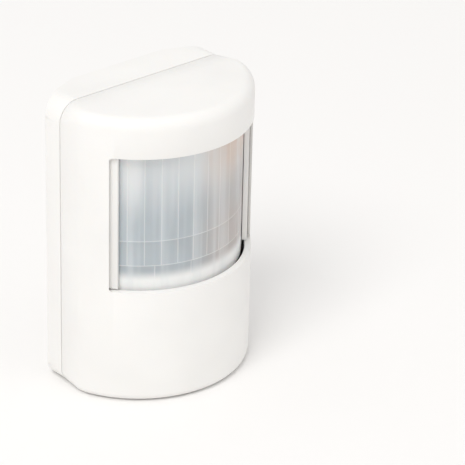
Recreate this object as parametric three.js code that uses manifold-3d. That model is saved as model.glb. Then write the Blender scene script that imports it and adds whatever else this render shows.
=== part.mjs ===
// Battery motion sensor for a wall, a corner or a shelf: a two-part white housing with a
// half-round front, a wide window with a moulded lens, a circuit board and two AA cells.
// Millimetres. +Z is up and the window faces -Y. The origin is the middle of the underside.
// "Depth" is measured forwards from the flat back of the housing.
import * as THREE from "three";
import { mergeVertices } from "three/addons/utils/BufferGeometryUtils.js";
import Module from "manifold-3d";

const wasm = await Module();
wasm.setup();

// ---- Housing ----
const height = 105;
const width = 73.6;
const bodyDepth = 50.8;
const sideDepth = 25; // where the flat sides meet the round front
const partingDepth = 14.4; // middle of the joint between the two covers
const rearFlatHalf = 19.8; // half the width of the flat back, between the corner-mounting bevels
const bevelDepth = 6.8; // how far forward the bevels run
const wall = 2.2;
const topCornerRadius = 7.5; // corners seen from the front
const bottomCornerRadius = 5.2;
const topEdgeRadius = 3.5; // round of the top edge along the front
const bottomEdgeRadius = 3;
const coverGap = 0.4; // seen as the fine line between the covers

// ---- Window, lens and the frame that carries the lens ----
const windowBottom = 41.8;
const windowTopMargin = 13.8; // from the window's top to the housing's
const windowSideMargin = 4.8; // from the flat side of the housing to the window's edge
const windowCornerRadius = 1;
const sillChamfer = 1.5;
const lensRecess = 3.5; // from the housing's round front to the lens
const lensThickness = 0.6;
const lensOverlap = 1.6; // how far the lens runs on behind the window's top and bottom
const postWidth = 2.2;
const postRecess = 1.4; // from the housing's round front to the posts
const postGap = 0.5; // between a post and the window's edge
const frameThickness = 1.2;
const frameOverlap = 3.3; // how far the frame runs on behind the window's top and bottom
const lowerBandHeight = 4.2; // how far the frame's lower band shows above the window's sill
const railWidth = 3.4; // the frame's side rails, along the arc

// ---- Clearances ----
const gap = 0.35; // between pieces that only stand near each other
const runningGap = 0.3; // round a piece that slides, turns or is screwed in

// ---- Cover joint: lip, hooks, lock tab ----
const lipThickness = 1.2;
const lipHeight = 1.8;
const lipRoot = 3.2;
const hookSpacing = 36;
const hookWidth = 8;
const hookReach = 2; // how far the hooks reach back under the rear cover's top wall
const hookThickness = 1.5;
const tabWidth = 10;
const tabThickness = 1.6;
const tabDrop = 0.9; // room under the tab, which dips as the cover swings

// ---- Lock screw ----
const lockFromWall = 3.4; // from the back wall's inside to the screw's axis
const lockShankRadius = 1.35;
const lockHeadRadius = 2.6;
const lockHeadHeight = 1.4;
const lockHeadInset = 0.5; // the head sits this far inside the underside
const lockPadRise = 1.6; // how far the pad over the screw's head rises above the bottom wall
const lockLength = 8.6;
const slotWidth = 0.8;
const slotDepth = 0.7;

// ---- Keyholes for wall screws ----
const keyholeRise = 80;
const keyholeDrop = 46; // the lower one, below the upper one
const keyholeEntryRadius = 3.6;
const keyholeSlotRadius = 2.1;
const keyholeTravel = 5.5;

// ---- Circuit board ----
const boardRear = 7; // depth of its rear face
const boardThickness = 1.6;
const boardSideInset = 8; // from the housing's side
const boardBottom = 14.5;
const boardTopInset = 5.6;
const boardScrewRadius = 1.1;
const boardScrewHeadRadius = 2.3;
const boardScrewHeadHeight = 1.1;
const boardScrewLength = 5.6;
const boardBossRadius = 2.7;
const boardScrewX = 22;
const boardBoreFloor = 3.8; // depth at which the screw bores end
const boardRestX = 20;
const boardScrewTopInset = 13; // from the board's upper edge

// ---- Batteries ----
const cellRadius = 7.25;
const cellLength = 49.5;
const nippleRadius = 2.75;
const nippleLength = 1;
const holderWall = 1.2;
const holderBottom = 8.6;
const cradleDepth = 9.5; // how deep the cells sit in the holder's cradle
const endWallDepth = 14.5;
const springLength = 3.6;
const springBaseRadius = 4.6;
const springTipRadius = 3;
const springWire = 0.4;
const contactThickness = 0.5;
const contactBump = 0.6;
const contactSize = 9;

// ---- Electronics ----
const pyroRadius = 4.6;
const pyroHeight = 4.2;
const pyroWindowWidth = 4;
const pyroWindowHeight = 3;
const gasketRadius = 8;
const gasketHeight = 2.2;
const ledRadius = 1.5;
const ledHeight = 4.6;
const buttonSize = 6;
const buttonHeight = 3.4;
const buttonCapRadius = 1.7;
const buttonCapRise = 1.3;
const switchWidth = 7.6;
const switchHeight = 6.6;
const switchRise = 2.6;
const sliderSize = 1.2;
const sliderTravel = 2;
const sliderPitch = 2.54;
const tamperSize = 6;
const tamperRise = 3.4;
const plungerRadius = 1.1;
const plungerRise = 2.4;
const plungerX = 20;
const plungerTopInset = 9.5; // from the top of the housing
const coilRadius = 2.6;
const coilWire = 0.45;
const coilLength = 24;
const coilTurns = 6;

// ---- Worked out from the sizes above ----
const halfWidth = width / 2;
const backY = bodyDepth / 2;
const bulge = bodyDepth - sideDepth;
const frontRadius = (halfWidth ** 2 + bulge ** 2) / (2 * bulge);
const arcDepth = bodyDepth - frontRadius; // depth of the axis of the round front
const windowHalf = halfWidth - windowSideMargin;
const windowTop = height - windowTopMargin;
const innerTop = height - wall;
const rearFront = partingDepth - coverGap / 2;
const coverRear = partingDepth + coverGap / 2;
const boardFront = boardRear + boardThickness;
const mountDepth = boardFront + gap; // where pieces on the board start
const boardHalf = halfWidth - boardSideInset;
const boardTop = height - boardTopInset;
const channelRadius = cellRadius + gap;
const lowerCellZ = holderBottom + holderWall + channelRadius;
const upperCellZ = lowerCellZ + 2 * channelRadius + 0.4;
const holderTop = upperCellZ + channelRadius + holderWall;
const cellDepth = mountDepth + holderWall + channelRadius;
const windowMiddle = (windowBottom + windowTop) / 2;
const rowZ = holderTop + 1.6 + switchHeight / 2; // the row of switches above the batteries
const boardScrewZ = boardTop - boardScrewTopInset;
const plungerZ = height - plungerTopInset;
const lockDepth = wall + lockFromWall;
const lockFloor = wall + lockPadRise;
const tabBottom = lockFloor + tabDrop;

// ---- Shapes ----
const v2 = (x, y) => new THREE.Vector2(x, y);
const yAt = (depth) => backY - depth;

// A closed geometry as a solid that can be joined and cut.
function solid(geometry) {
  const bare = new THREE.BufferGeometry();
  bare.setAttribute("position", geometry.getAttribute("position"));
  if (geometry.index) bare.setIndex(geometry.index);
  const merged = mergeVertices(bare, 1e-4);
  return new wasm.Manifold(
    new wasm.Mesh({
      numProp: 3,
      vertProperties: new Float32Array(merged.attributes.position.array),
      triVerts: new Uint32Array(merged.index.array),
    }),
  );
}

const joined = (first, ...others) => others.reduce((sum, other) => sum.add(other), first);
const cut = (first, ...others) => others.reduce((rest, other) => rest.subtract(other), first);

// A box between two x values, two depths and two heights.
function box(x0, x1, depth0, depth1, z0, z1) {
  const geometry = new THREE.BoxGeometry(x1 - x0, depth1 - depth0, z1 - z0);
  geometry.translate((x0 + x1) / 2, yAt((depth0 + depth1) / 2), (z0 + z1) / 2);
  return solid(geometry);
}

// A plan outline, in x and y, raised from one height to another.
function raised(outline, z0, z1) {
  const geometry = new THREE.ExtrudeGeometry(new THREE.Shape(outline), {
    depth: z1 - z0,
    bevelEnabled: false,
  });
  geometry.translate(0, 0, z0);
  return solid(geometry);
}

// The same with both end edges rounded.
function raisedRound(outline, z0, z1, radius) {
  const geometry = new THREE.ExtrudeGeometry(new THREE.Shape(outline), {
    depth: z1 - z0 - 2 * radius,
    bevelThickness: radius,
    bevelSize: radius,
    bevelOffset: -radius,
    bevelSegments: 4,
  });
  geometry.translate(0, 0, z0 + radius);
  return solid(geometry);
}

// A front-view shape, in x and z, carried from one depth forwards to another.
function carried(shape, depth0, depth1) {
  const geometry = new THREE.ExtrudeGeometry(shape, {
    depth: depth1 - depth0,
    bevelEnabled: false,
    curveSegments: 6,
  });
  geometry.rotateX(Math.PI / 2);
  geometry.translate(0, yAt(depth0), 0);
  return solid(geometry);
}

// A round bar that points forwards.
function rodForward(x, z, depth0, depth1, radius, sides = 16) {
  const geometry = new THREE.CylinderGeometry(radius, radius, depth1 - depth0, sides);
  geometry.translate(x, yAt((depth0 + depth1) / 2), z);
  return solid(geometry);
}

// A round bar that points up.
function rodUp(x, depth, z0, z1, radius, sides = 20) {
  const geometry = new THREE.CylinderGeometry(radius, radius, z1 - z0, sides);
  geometry.rotateX(Math.PI / 2);
  geometry.translate(x, yAt(depth), (z0 + z1) / 2);
  return solid(geometry);
}

// A round bar that lies across the housing.
function rodAcross(x0, x1, depth, z, radius, sides = 28) {
  const geometry = new THREE.CylinderGeometry(radius, radius, x1 - x0, sides);
  geometry.rotateZ(Math.PI / 2);
  geometry.translate((x0 + x1) / 2, yAt(depth), z);
  return solid(geometry);
}

// A rectangle with round upper and lower corners, in x and z.
function roundedFace(half, z0, z1, lowerRadius, upperRadius) {
  const low = Math.max(lowerRadius, 0.2);
  const high = Math.max(upperRadius, 0.2);
  const shape = new THREE.Shape();
  shape.moveTo(-half + low, z0);
  shape.lineTo(half - low, z0);
  shape.absarc(half - low, z0 + low, low, -Math.PI / 2, 0, false);
  shape.lineTo(half, z1 - high);
  shape.absarc(half - high, z1 - high, high, 0, Math.PI / 2, false);
  shape.lineTo(-half + high, z1);
  shape.absarc(-half + high, z1 - high, high, Math.PI / 2, Math.PI, false);
  shape.lineTo(-half, z0 + low);
  shape.absarc(-half + low, z0 + low, low, Math.PI, 1.5 * Math.PI, false);
  return shape;
}

// The housing's front-view outline, moved inwards.
function faceOutline(inset) {
  return roundedFace(
    halfWidth - inset,
    inset,
    height - inset,
    bottomCornerRadius - inset,
    topCornerRadius - inset,
  );
}

// A ring between two insets of the front-view outline.
function faceRing(outerInset, innerInset, depth0, depth1) {
  const outer = carried(faceOutline(outerInset), depth0, depth1);
  return outer.subtract(carried(faceOutline(innerInset), depth0 - 1, depth1 + 1));
}

// The housing's plan: flat back, two bevels, flat sides and the round front.
function planOutline() {
  const steps = 30;
  const reach = Math.asin(halfWidth / frontRadius);
  const points = [
    v2(-rearFlatHalf, yAt(0)),
    v2(-halfWidth, yAt(bevelDepth)),
  ];
  for (let i = 0; i <= steps; i++) {
    const angle = -reach + (2 * reach * i) / steps;
    points.push(arcPoint(frontRadius, angle));
  }
  points.push(v2(halfWidth, yAt(bevelDepth)), v2(rearFlatHalf, yAt(0)));
  return points;
}

// A point on an arc about the axis of the round front; angle 0 is straight ahead.
function arcPoint(radius, angle) {
  return v2(radius * Math.sin(angle), yAt(arcDepth + radius * Math.cos(angle)));
}

// A convex outline with each edge moved inwards by the same distance.
function insetOutline(points, distance) {
  const count = points.length;
  const area = THREE.ShapeUtils.area(points);
  const turn = area > 0 ? 1 : -1;
  const lines = points.map((from, i) => {
    const along = points[(i + 1) % count].clone().sub(from).normalize();
    const inwards = v2(-along.y, along.x).multiplyScalar(turn * distance);
    return { from: from.clone().add(inwards), along };
  });
  return lines.map((line, i) => {
    const before = lines[(i + count - 1) % count];
    const across = before.along.cross(line.along);
    const offset = line.from.clone().sub(before.from);
    const t = offset.cross(line.along) / across;
    return before.from.clone().add(before.along.clone().multiplyScalar(t));
  });
}

// A curved plate about the axis of the round front, between two radii and two angles.
function arcPlate(radius0, radius1, angle0, angle1, z0, z1) {
  const steps = Math.max(1, Math.round((angle1 - angle0) / 0.09));
  const points = [];
  for (let i = 0; i <= steps; i++) {
    points.push(arcPoint(radius1, angle0 + ((angle1 - angle0) * i) / steps));
  }
  for (let i = steps; i >= 0; i--) {
    points.push(arcPoint(radius0, angle0 + ((angle1 - angle0) * i) / steps));
  }
  return raised(points, z0, z1);
}

// A wire of round section along a curve.
function wire(curve, radius, steps) {
  const section = new THREE.Shape();
  const sides = 6;
  for (let i = 0; i < sides; i++) {
    const angle = (2 * Math.PI * i) / sides;
    const x = radius * Math.cos(angle);
    const y = radius * Math.sin(angle);
    if (i === 0) section.moveTo(x, y);
    else section.lineTo(x, y);
  }
  section.closePath();
  return solid(new THREE.ExtrudeGeometry(section, { steps, extrudePath: curve }));
}

// A helix whose radius changes evenly from its start to its end.
class Helix extends THREE.Curve {
  constructor(startRadius, endRadius, length, turns, place) {
    super();
    Object.assign(this, { startRadius, endRadius, length, turns, place });
  }

  getPoint(t, target = new THREE.Vector3()) {
    const angle = 2 * Math.PI * this.turns * t;
    const radius = THREE.MathUtils.lerp(this.startRadius, this.endRadius, t);
    const across = radius * Math.cos(angle);
    const aside = radius * Math.sin(angle);
    return target.copy(this.place(across, aside, this.length * t));
  }
}

// ---- Finishes ----
const finish = (color, roughness, metalness = 0, opacity = 1) =>
  new THREE.MeshStandardMaterial({
    color,
    roughness,
    metalness,
    opacity,
    transparent: opacity < 1,
  });
const shellWhite = () => finish(0xf3f2ee, 0.42);
const frameWhite = () => finish(0xe9e8e4, 0.45);
const milky = () => finish(0xd3d8da, 0.3, 0, 0.75);
const boardGreen = () => finish(0x1f5a3a, 0.5);
const blackPlastic = () => finish(0x1d1d1f, 0.5);
const steel = () => finish(0xb9bcc0, 0.3, 0.9);
const brass = () => finish(0xc9a55a, 0.35, 0.9);

const group = new THREE.Group();

// Adds one named piece to the assembly.
function add(name, made, material) {
  const mesh = made.getMesh();
  const geometry = new THREE.BufferGeometry();
  geometry.setAttribute("position", new THREE.BufferAttribute(mesh.vertProperties, 3));
  geometry.setIndex(new THREE.BufferAttribute(mesh.triVerts, 1));
  geometry.computeVertexNormals();
  const piece = new THREE.Mesh(geometry, material);
  piece.name = name;
  group.add(piece);
}

// ---- Housing ----
const plan = planOutline();
const innerPlan = insetOutline(plan, wall);
const beyond = 10; // how far cutting shapes run past what they cut

// The outside of the closed housing.
function housingForm() {
  const topRounded = raisedRound(plan, -beyond, height, topEdgeRadius);
  const bottomRounded = raisedRound(plan, 0, height + beyond, bottomEdgeRadius);
  const face = carried(faceOutline(0), -beyond, bodyDepth + beyond);
  return topRounded.intersect(bottomRounded).intersect(face);
}

// The space inside the housing.
function housingHollow() {
  const inside = raised(innerPlan, wall, innerTop);
  return inside.intersect(carried(faceOutline(wall), 0, bodyDepth));
}

function keyhole(z) {
  const entry = rodForward(0, z - keyholeTravel, -1, wall + 1, keyholeEntryRadius);
  const slot = box(-keyholeSlotRadius, keyholeSlotRadius, -1, wall + 1, z - keyholeTravel, z);
  const end = rodForward(0, z, -1, wall + 1, keyholeSlotRadius);
  return joined(entry, slot, end);
}

const boardScrewPlaces = [
  ["pcb_screw_left", -boardScrewX],
  ["pcb_screw_right", boardScrewX],
];

// A ledge with a nose that carries the board's lower edge.
function boardRest(x) {
  const foot = box(x - 2, x + 2, wall - 0.5, boardRear - gap, boardBottom - 3, boardBottom + 2);
  const back = boardBottom - gap;
  const nose = box(x - 2, x + 2, wall - 0.5, boardFront - 0.2, boardBottom - 3, back);
  return foot.add(nose);
}

const hooks = [-hookSpacing / 2, hookSpacing / 2];

function rearCover() {
  const outline = [
    v2(-rearFlatHalf, yAt(0)),
    v2(-halfWidth, yAt(bevelDepth)),
    v2(-halfWidth, yAt(rearFront)),
    v2(halfWidth, yAt(rearFront)),
    v2(halfWidth, yAt(bevelDepth)),
    v2(rearFlatHalf, yAt(0)),
  ];
  const outside = raised(outline, 0, height).intersect(carried(faceOutline(0), -1, bodyDepth));
  let shell = outside.subtract(housingHollow());
  const lipInset = wall + gap;
  const root = faceRing(wall - 0.6, lipInset + lipThickness, rearFront - lipRoot, rearFront);
  const lip = faceRing(lipInset, lipInset + lipThickness, rearFront - lipRoot, rearFront + lipHeight);
  shell = joined(shell, root, lip);
  const pad = box(-6, 6, wall - 0.5, lockDepth + 3.3, wall - 0.5, lockFloor);
  const bossFloor = tabBottom + tabThickness + gap;
  const boss = box(-3.6, 3.6, wall - 0.5, lockDepth + 2.7, bossFloor, bossFloor + 4.5);
  shell = joined(shell, pad, boss);
  for (const x of [-boardRestX, boardRestX]) {
    shell = shell.add(boardRest(x).intersect(outside));
  }
  for (const [, x] of boardScrewPlaces) {
    const post = rodForward(x, boardScrewZ, wall - 1, boardRear - gap, boardBossRadius);
    const bore = rodForward(x, boardScrewZ, boardBoreFloor, boardRear, boardScrewRadius + runningGap);
    shell = shell.add(post.intersect(outside)).subtract(bore);
  }
  for (const x of hooks) {
    const half = hookWidth / 2 + 0.5;
    const z0 = innerTop - hookThickness - 3 * gap;
    const from = rearFront - lipRoot - 0.1;
    shell = shell.subtract(box(x - half, x + half, from, coverRear + lipHeight, z0, innerTop));
  }
  const headTop = lockHeadInset + lockHeadHeight + runningGap;
  const headSpace = rodUp(0, lockDepth, -1, headTop, lockHeadRadius + runningGap);
  const shank = rodUp(0, lockDepth, 0, lockFloor + lockLength, lockShankRadius + runningGap);
  return cut(shell, headSpace, shank, keyhole(keyholeRise), keyhole(keyholeRise - keyholeDrop));
}

// The opening that the lens looks through, with its sill chamfered.
function windowCut() {
  const radius = windowCornerRadius;
  const face = roundedFace(windowHalf, windowBottom, windowTop, radius, radius);
  const opening = carried(face, sideDepth, bodyDepth + 1);
  const ring = new THREE.LatheGeometry(
    [
      v2(frontRadius - sillChamfer, windowBottom + 0.01),
      v2(frontRadius + 1, windowBottom - sillChamfer - 1),
      v2(frontRadius + 1, windowBottom + 0.01),
      v2(frontRadius - sillChamfer, windowBottom + 0.01),
    ],
    72,
  );
  ring.rotateX(Math.PI / 2);
  ring.translate(0, yAt(arcDepth), 0);
  const side = box(-windowHalf, windowHalf, sideDepth, bodyDepth + 2, windowBottom - 5, windowTop);
  return opening.add(solid(ring).intersect(side));
}

// A clip that holds the lens frame's edge; up is 1 above the window and -1 below it.
function frameClip(x, edge, up) {
  const near = arcDepth + Math.sqrt((frameInner - gap) ** 2 - (Math.abs(x) + 2) ** 2) - 1.6;
  const far = arcDepth + Math.sqrt((frontRadius - wall / 2) ** 2 - (Math.abs(x) + 2) ** 2);
  const [low, high] = up > 0 ? [edge + gap, edge + gap + 1.5] : [edge - gap - 1.5, edge - gap];
  const arm = box(x - 2, x + 2, near, far, low, high);
  const noseLow = Math.min(low, edge - up);
  const noseHigh = Math.max(high, edge - up);
  return arm.add(box(x - 2, x + 2, near, near + 1.2, noseLow, noseHigh));
}

// The rib that holds the tamper plunger in: a bar from the top wall and a foot behind it.
function tamperRib() {
  const [x0, x1] = [plungerX - 0.8, plungerX + 0.8];
  const foot = plungerZ - 1.6;
  const tip = mountDepth + tamperRise + plungerRise + gap;
  const front = coverRear + 3.5;
  const bar = box(x0, x1, coverRear + 0.5, front, foot, innerTop + 0.5);
  return [bar, box(x0, x1, tip, front, foot, foot + 3.2)];
}

function frontCover() {
  const front = box(-width, width, coverRear, bodyDepth + beyond, -beyond, height + beyond);
  let shell = housingForm().intersect(front).subtract(housingHollow()).subtract(windowCut());
  for (const x of hooks) {
    const top = innerTop - gap;
    const reach = rearFront - hookReach;
    const half = hookWidth / 2;
    const tongue = box(x - half, x + half, reach, coverRear + 3, top - hookThickness, top);
    const root = box(x - half, x + half, coverRear, coverRear + 3, top - hookThickness, innerTop + 0.5);
    shell = joined(shell, tongue, root);
  }
  const tabHalf = tabWidth / 2;
  const tabTop = tabBottom + tabThickness;
  const tab = box(-tabHalf, tabHalf, wall + gap, coverRear + 4, tabBottom, tabTop);
  const tabRoot = box(-tabHalf, tabHalf, coverRear + 2.4, coverRear + 4, wall - 0.5, tabTop);
  const notchHalf = lockShankRadius + runningGap;
  const notch = box(-notchHalf, notchHalf, 0, lockDepth, tabBottom - 1, tabTop + 1);
  const notchEnd = rodUp(0, lockDepth, tabBottom - 1, tabTop + 1, notchHalf);
  shell = joined(shell, cut(tab, notch, notchEnd), tabRoot);
  shell = joined(shell, ...tamperRib());
  for (const x of [-13, 13]) {
    shell = joined(shell, frameClip(x, frameTop, 1), frameClip(x, frameBottom, -1));
  }
  return shell;
}

// ---- Lens and its frame ----
const lensOuter = frontRadius - lensRecess;
const lensInner = lensOuter - lensThickness;
const postOuter = frontRadius - postRecess;
const postInner = lensOuter + gap;
const frameOuter = lensInner - gap;
const frameInner = frameOuter - frameThickness;
const railOuter = frontRadius - wall - gap;
const frameTop = windowTop + frameOverlap;
const frameBottom = windowBottom - frameOverlap;
const postEdge = windowHalf - postGap;
const postAngleOuter = Math.asin(postEdge / postOuter);
const postAngleInner = Math.asin((postEdge - postWidth) / postOuter);
const lensAngle = postAngleOuter - 0.03;
const railAngle = lensAngle + gap / lensInner;
const railEndAngle = railAngle + railWidth / lensOuter;

function lens() {
  const z0 = windowBottom - lensOverlap;
  const z1 = windowTop + lensOverlap;
  return arcPlate(lensInner, lensOuter, -lensAngle, lensAngle, z0, z1);
}

function lensFrame() {
  const end = railEndAngle;
  const lowerTop = windowBottom + lowerBandHeight;
  const upperBottom = windowTop - 0.8;
  const postBottom = windowBottom + postGap;
  const postTop = windowTop - postGap;
  const lowerBand = arcPlate(frameInner, frameOuter, -end, end, frameBottom, lowerTop);
  const upperBand = arcPlate(frameInner, frameOuter, -end, end, upperBottom, frameTop);
  let frame = lowerBand.add(upperBand);
  for (const side of [-1, 1]) {
    const rail = [railAngle * side, end * side].sort((a, b) => a - b);
    const post = [postAngleInner * side, postAngleOuter * side].sort((a, b) => a - b);
    frame = frame.add(arcPlate(frameInner, railOuter, ...rail, frameBottom, frameTop));
    frame = frame.add(arcPlate(postInner, postOuter, ...post, postBottom, postTop));
  }
  return frame;
}

// ---- Circuit board and what is on it ----
function board() {
  const corner = 2.5;
  const face = roundedFace(boardHalf, boardBottom, boardTop, 1, corner);
  let plate = carried(face, boardRear, boardFront);
  for (const [, x] of boardScrewPlaces) {
    plate = plate.subtract(rodForward(x, boardScrewZ, 0, bodyDepth, boardScrewRadius + runningGap));
  }
  return plate;
}

function boardScrew(x) {
  const headFrom = boardFront + gap;
  const headTo = headFrom + boardScrewHeadHeight;
  const shank = rodForward(x, boardScrewZ, headTo - boardScrewLength, headTo, boardScrewRadius, 12);
  const head = rodForward(x, boardScrewZ, headFrom, headTo, boardScrewHeadRadius, 20);
  const across = box(x - 1.4, x + 1.4, headTo - 0.6, headTo + 1, boardScrewZ - 0.3, boardScrewZ + 0.3);
  const upright = box(x - 0.3, x + 0.3, headTo - 0.6, headTo + 1, boardScrewZ - 1.4, boardScrewZ + 1.4);
  return cut(shank.add(head), across, upright);
}

// A plain block that stands on the board, centred at x and z.
function onBoard(x, z, across, tall, rise, from = mountDepth) {
  return box(x - across / 2, x + across / 2, from, from + rise, z - tall / 2, z + tall / 2);
}

function pyroCan() {
  const flange = rodForward(0, windowMiddle, mountDepth, mountDepth + 0.6, pyroRadius + 0.5, 28);
  const can = rodForward(0, windowMiddle, mountDepth, mountDepth + pyroHeight, pyroRadius, 28);
  const pocketWidth = pyroWindowWidth + 2 * runningGap;
  const pocketHeight = pyroWindowHeight + 2 * runningGap;
  const pocket = onBoard(0, windowMiddle, pocketWidth, pocketHeight, 2, mountDepth + pyroHeight - 0.9);
  return cut(flange.add(can), pocket);
}

function pyroWindow() {
  const from = mountDepth + pyroHeight - 0.9 + runningGap;
  return onBoard(0, windowMiddle, pyroWindowWidth, pyroWindowHeight, 0.5, from);
}

function pyroGasket() {
  const ring = rodForward(0, windowMiddle, mountDepth, mountDepth + gasketHeight, gasketRadius, 28);
  const hole = rodForward(0, windowMiddle, 0, bodyDepth, pyroRadius + 0.5 + gap, 28);
  return ring.subtract(hole);
}

function statusLed(x, z) {
  const dome = new THREE.SphereGeometry(ledRadius, 16, 8);
  dome.translate(x, yAt(mountDepth + ledHeight - ledRadius), z);
  const stem = rodForward(x, z, mountDepth, mountDepth + ledHeight - ledRadius, ledRadius);
  const collar = rodForward(x, z, mountDepth, mountDepth + 0.8, ledRadius + 0.35);
  return joined(solid(dome), stem, collar);
}

// A switch body with a round bore in its front for what moves in it.
function boredBody(x, z, size, rise, boreRadius, boreDepth) {
  const bore = rodForward(x, z, mountDepth + rise - boreDepth, mountDepth + rise + 1, boreRadius);
  return onBoard(x, z, size, size, rise).subtract(bore);
}

const buttonX = -3;
const switchX = 13;
const sliders = [
  ["dip_slider_1", switchX - sliderPitch / 2],
  ["dip_slider_2", switchX + sliderPitch / 2],
];

function testButton() {
  const bore = buttonCapRadius + runningGap;
  return boredBody(buttonX, rowZ, buttonSize, buttonHeight, bore, 1.9);
}

function tamperSwitch() {
  const bore = plungerRadius + runningGap;
  return boredBody(plungerX, plungerZ, tamperSize, tamperRise, bore, 2.6);
}

function testButtonCap() {
  const from = mountDepth + buttonHeight - 1.2;
  return rodForward(buttonX, rowZ, from, from + 1.2 + buttonCapRise, buttonCapRadius, 20);
}

function dipSwitch() {
  let body = onBoard(switchX, rowZ, switchWidth, switchHeight, switchRise);
  for (const [, x] of sliders) {
    const across = sliderSize + 2 * runningGap;
    const tall = sliderSize + sliderTravel + 2 * runningGap;
    body = body.subtract(onBoard(x, rowZ, across, tall, 3, mountDepth + switchRise - 1.2));
  }
  return body;
}

function dipSlider(x) {
  const from = mountDepth + switchRise - 1.2 + runningGap;
  return onBoard(x, rowZ - sliderTravel / 2, sliderSize, sliderSize, 1.6, from);
}

function tamperPlunger() {
  const from = mountDepth + tamperRise - 1.8;
  const to = mountDepth + tamperRise + plungerRise;
  return rodForward(plungerX, plungerZ, from, to, plungerRadius, 16);
}

function antennaCoil() {
  const x = -boardHalf + coilRadius + coilWire + 1.2;
  const z0 = windowMiddle - coilLength / 2;
  const y = yAt(mountDepth + coilRadius + coilWire);
  const place = (across, aside, rise) => new THREE.Vector3(x + across, y + aside, z0 + rise);
  const helix = new Helix(coilRadius, coilRadius, coilLength, coilTurns, place);
  return wire(helix, coilWire, coilTurns * 10);
}

function canCapacitor(x, z) {
  const body = rodForward(x, z, mountDepth, mountDepth + 6.4, 3.1, 20);
  const groove = rodForward(x, z, mountDepth + 1, mountDepth + 1.6, 4, 20);
  const core = rodForward(x, z, mountDepth, mountDepth + 7, 2.8, 20);
  return body.subtract(groove.subtract(core));
}

function crystal(x, z) {
  const outline = new THREE.Shape();
  outline.absarc(x - 3.2, z, 1.9, Math.PI / 2, 1.5 * Math.PI, false);
  outline.absarc(x + 3.2, z, 1.9, 1.5 * Math.PI, 2.5 * Math.PI, false);
  return carried(outline, mountDepth, mountDepth + 3);
}

// ---- Batteries and their holder ----
const cellTotal = cellLength + nippleLength;
const bayLength = cellTotal + springLength + contactBump + 2 * contactThickness + 4 * runningGap;
const bayHalf = bayLength / 2;
const holderHalf = bayHalf + holderWall;

// turned is 1 with the positive end towards +X and -1 the other way.
function cell(z, turned) {
  const tip = turned * (bayHalf - contactThickness - contactBump - 2 * runningGap);
  const shoulder = tip - turned * nippleLength;
  const end = tip - turned * cellTotal;
  const body = rodAcross(Math.min(end, shoulder), Math.max(end, shoulder), cellDepth, z, cellRadius);
  const start = shoulder - turned * 0.5;
  return body.add(rodAcross(Math.min(start, tip), Math.max(start, tip), cellDepth, z, nippleRadius, 16));
}

function batteryHolder() {
  const rear = mountDepth;
  const block = box(-holderHalf, holderHalf, rear, rear + cradleDepth, holderBottom, holderTop);
  let tray = block;
  for (const side of [-1, 1]) {
    const [x0, x1] = [side * holderHalf, side * (holderHalf - holderWall)].sort((a, b) => a - b);
    tray = tray.add(box(x0, x1, rear, rear + endWallDepth, holderBottom + 2, holderTop - 2));
  }
  for (const z of [lowerCellZ, upperCellZ]) {
    const channel = rodAcross(-bayHalf, bayHalf, cellDepth, z, channelRadius);
    const mouth = box(-bayHalf, bayHalf, cellDepth, bodyDepth, z - channelRadius, z + channelRadius);
    tray = cut(tray, channel, mouth);
  }
  return tray;
}

// side is -1 at the left end and 1 at the right end.
function cellSpring(z, side) {
  const outer = bayHalf - runningGap;
  const [x0, x1] = [side * outer, side * (outer - contactThickness)].sort((a, b) => a - b);
  const half = contactSize / 2;
  const plate = box(x0, x1, cellDepth - half, cellDepth + half, z - half, z + half);
  const start = side * (outer - contactThickness + springWire / 2);
  const y = yAt(cellDepth);
  const length = springLength - springWire;
  const place = (across, aside, rise) => new THREE.Vector3(start - side * rise, y + across, z + aside);
  return plate.add(wire(new Helix(springBaseRadius, springTipRadius, length, 3, place), springWire, 30));
}

function cellContact(z, side) {
  const outer = bayHalf - runningGap;
  const [x0, x1] = [side * outer, side * (outer - contactThickness)].sort((a, b) => a - b);
  const half = contactSize / 2;
  const plate = box(x0, x1, cellDepth - half, cellDepth + half, z - half, z + half);
  const inner = side * (outer - contactThickness);
  const [d0, d1] = [inner, inner - side * contactBump].sort((a, b) => a - b);
  return plate.add(rodAcross(d0, d1, cellDepth, z, nippleRadius, 16));
}

// ---- Lock screw ----
function lockScrew() {
  const headTop = lockHeadInset + lockHeadHeight;
  const head = rodUp(0, lockDepth, lockHeadInset, headTop, lockHeadRadius);
  const shank = rodUp(0, lockDepth, lockHeadInset, headTop + lockLength, lockShankRadius, 12);
  const half = slotWidth / 2;
  const slotTop = lockHeadInset + slotDepth;
  const slot = box(-lockHeadRadius, lockHeadRadius, lockDepth - half, lockDepth + half, 0, slotTop);
  return cut(head.add(shank), slot);
}

// ---- The assembly ----
add("rear_cover", rearCover(), shellWhite());
add("front_cover", frontCover(), shellWhite());
add("lens", lens(), milky());
add("lens_frame", lensFrame(), frameWhite());
add("pcb", board(), boardGreen());
for (const [name, x] of boardScrewPlaces) {
  add(name, boardScrew(x), steel());
}
add("pyro_can", pyroCan(), steel());
add("pyro_window", pyroWindow(), finish(0x4a4048, 0.2));
add("pyro_gasket", pyroGasket(), blackPlastic());
add("status_led", statusLed(gasketRadius + 3.5, windowMiddle - 8), finish(0xd9b0aa, 0.2, 0, 0.8));
add("test_button", testButton(), blackPlastic());
add("test_button_cap", testButtonCap(), finish(0xd8d4cc, 0.5));
add("dip_switch", dipSwitch(), finish(0x2b4c8c, 0.45));
for (const [name, x] of sliders) {
  add(name, dipSlider(x), finish(0xf0f0ee, 0.5));
}
add("tamper_switch", tamperSwitch(), blackPlastic());
add("tamper_plunger", tamperPlunger(), finish(0xc9443a, 0.45));
add("antenna_coil", antennaCoil(), brass());
add("controller_chip", onBoard(-6, boardTop - 12, 9, 9, 1.2), blackPlastic());
add("radio_shield", onBoard(-14, rowZ, 13, 7, 2.4), steel());
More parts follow.
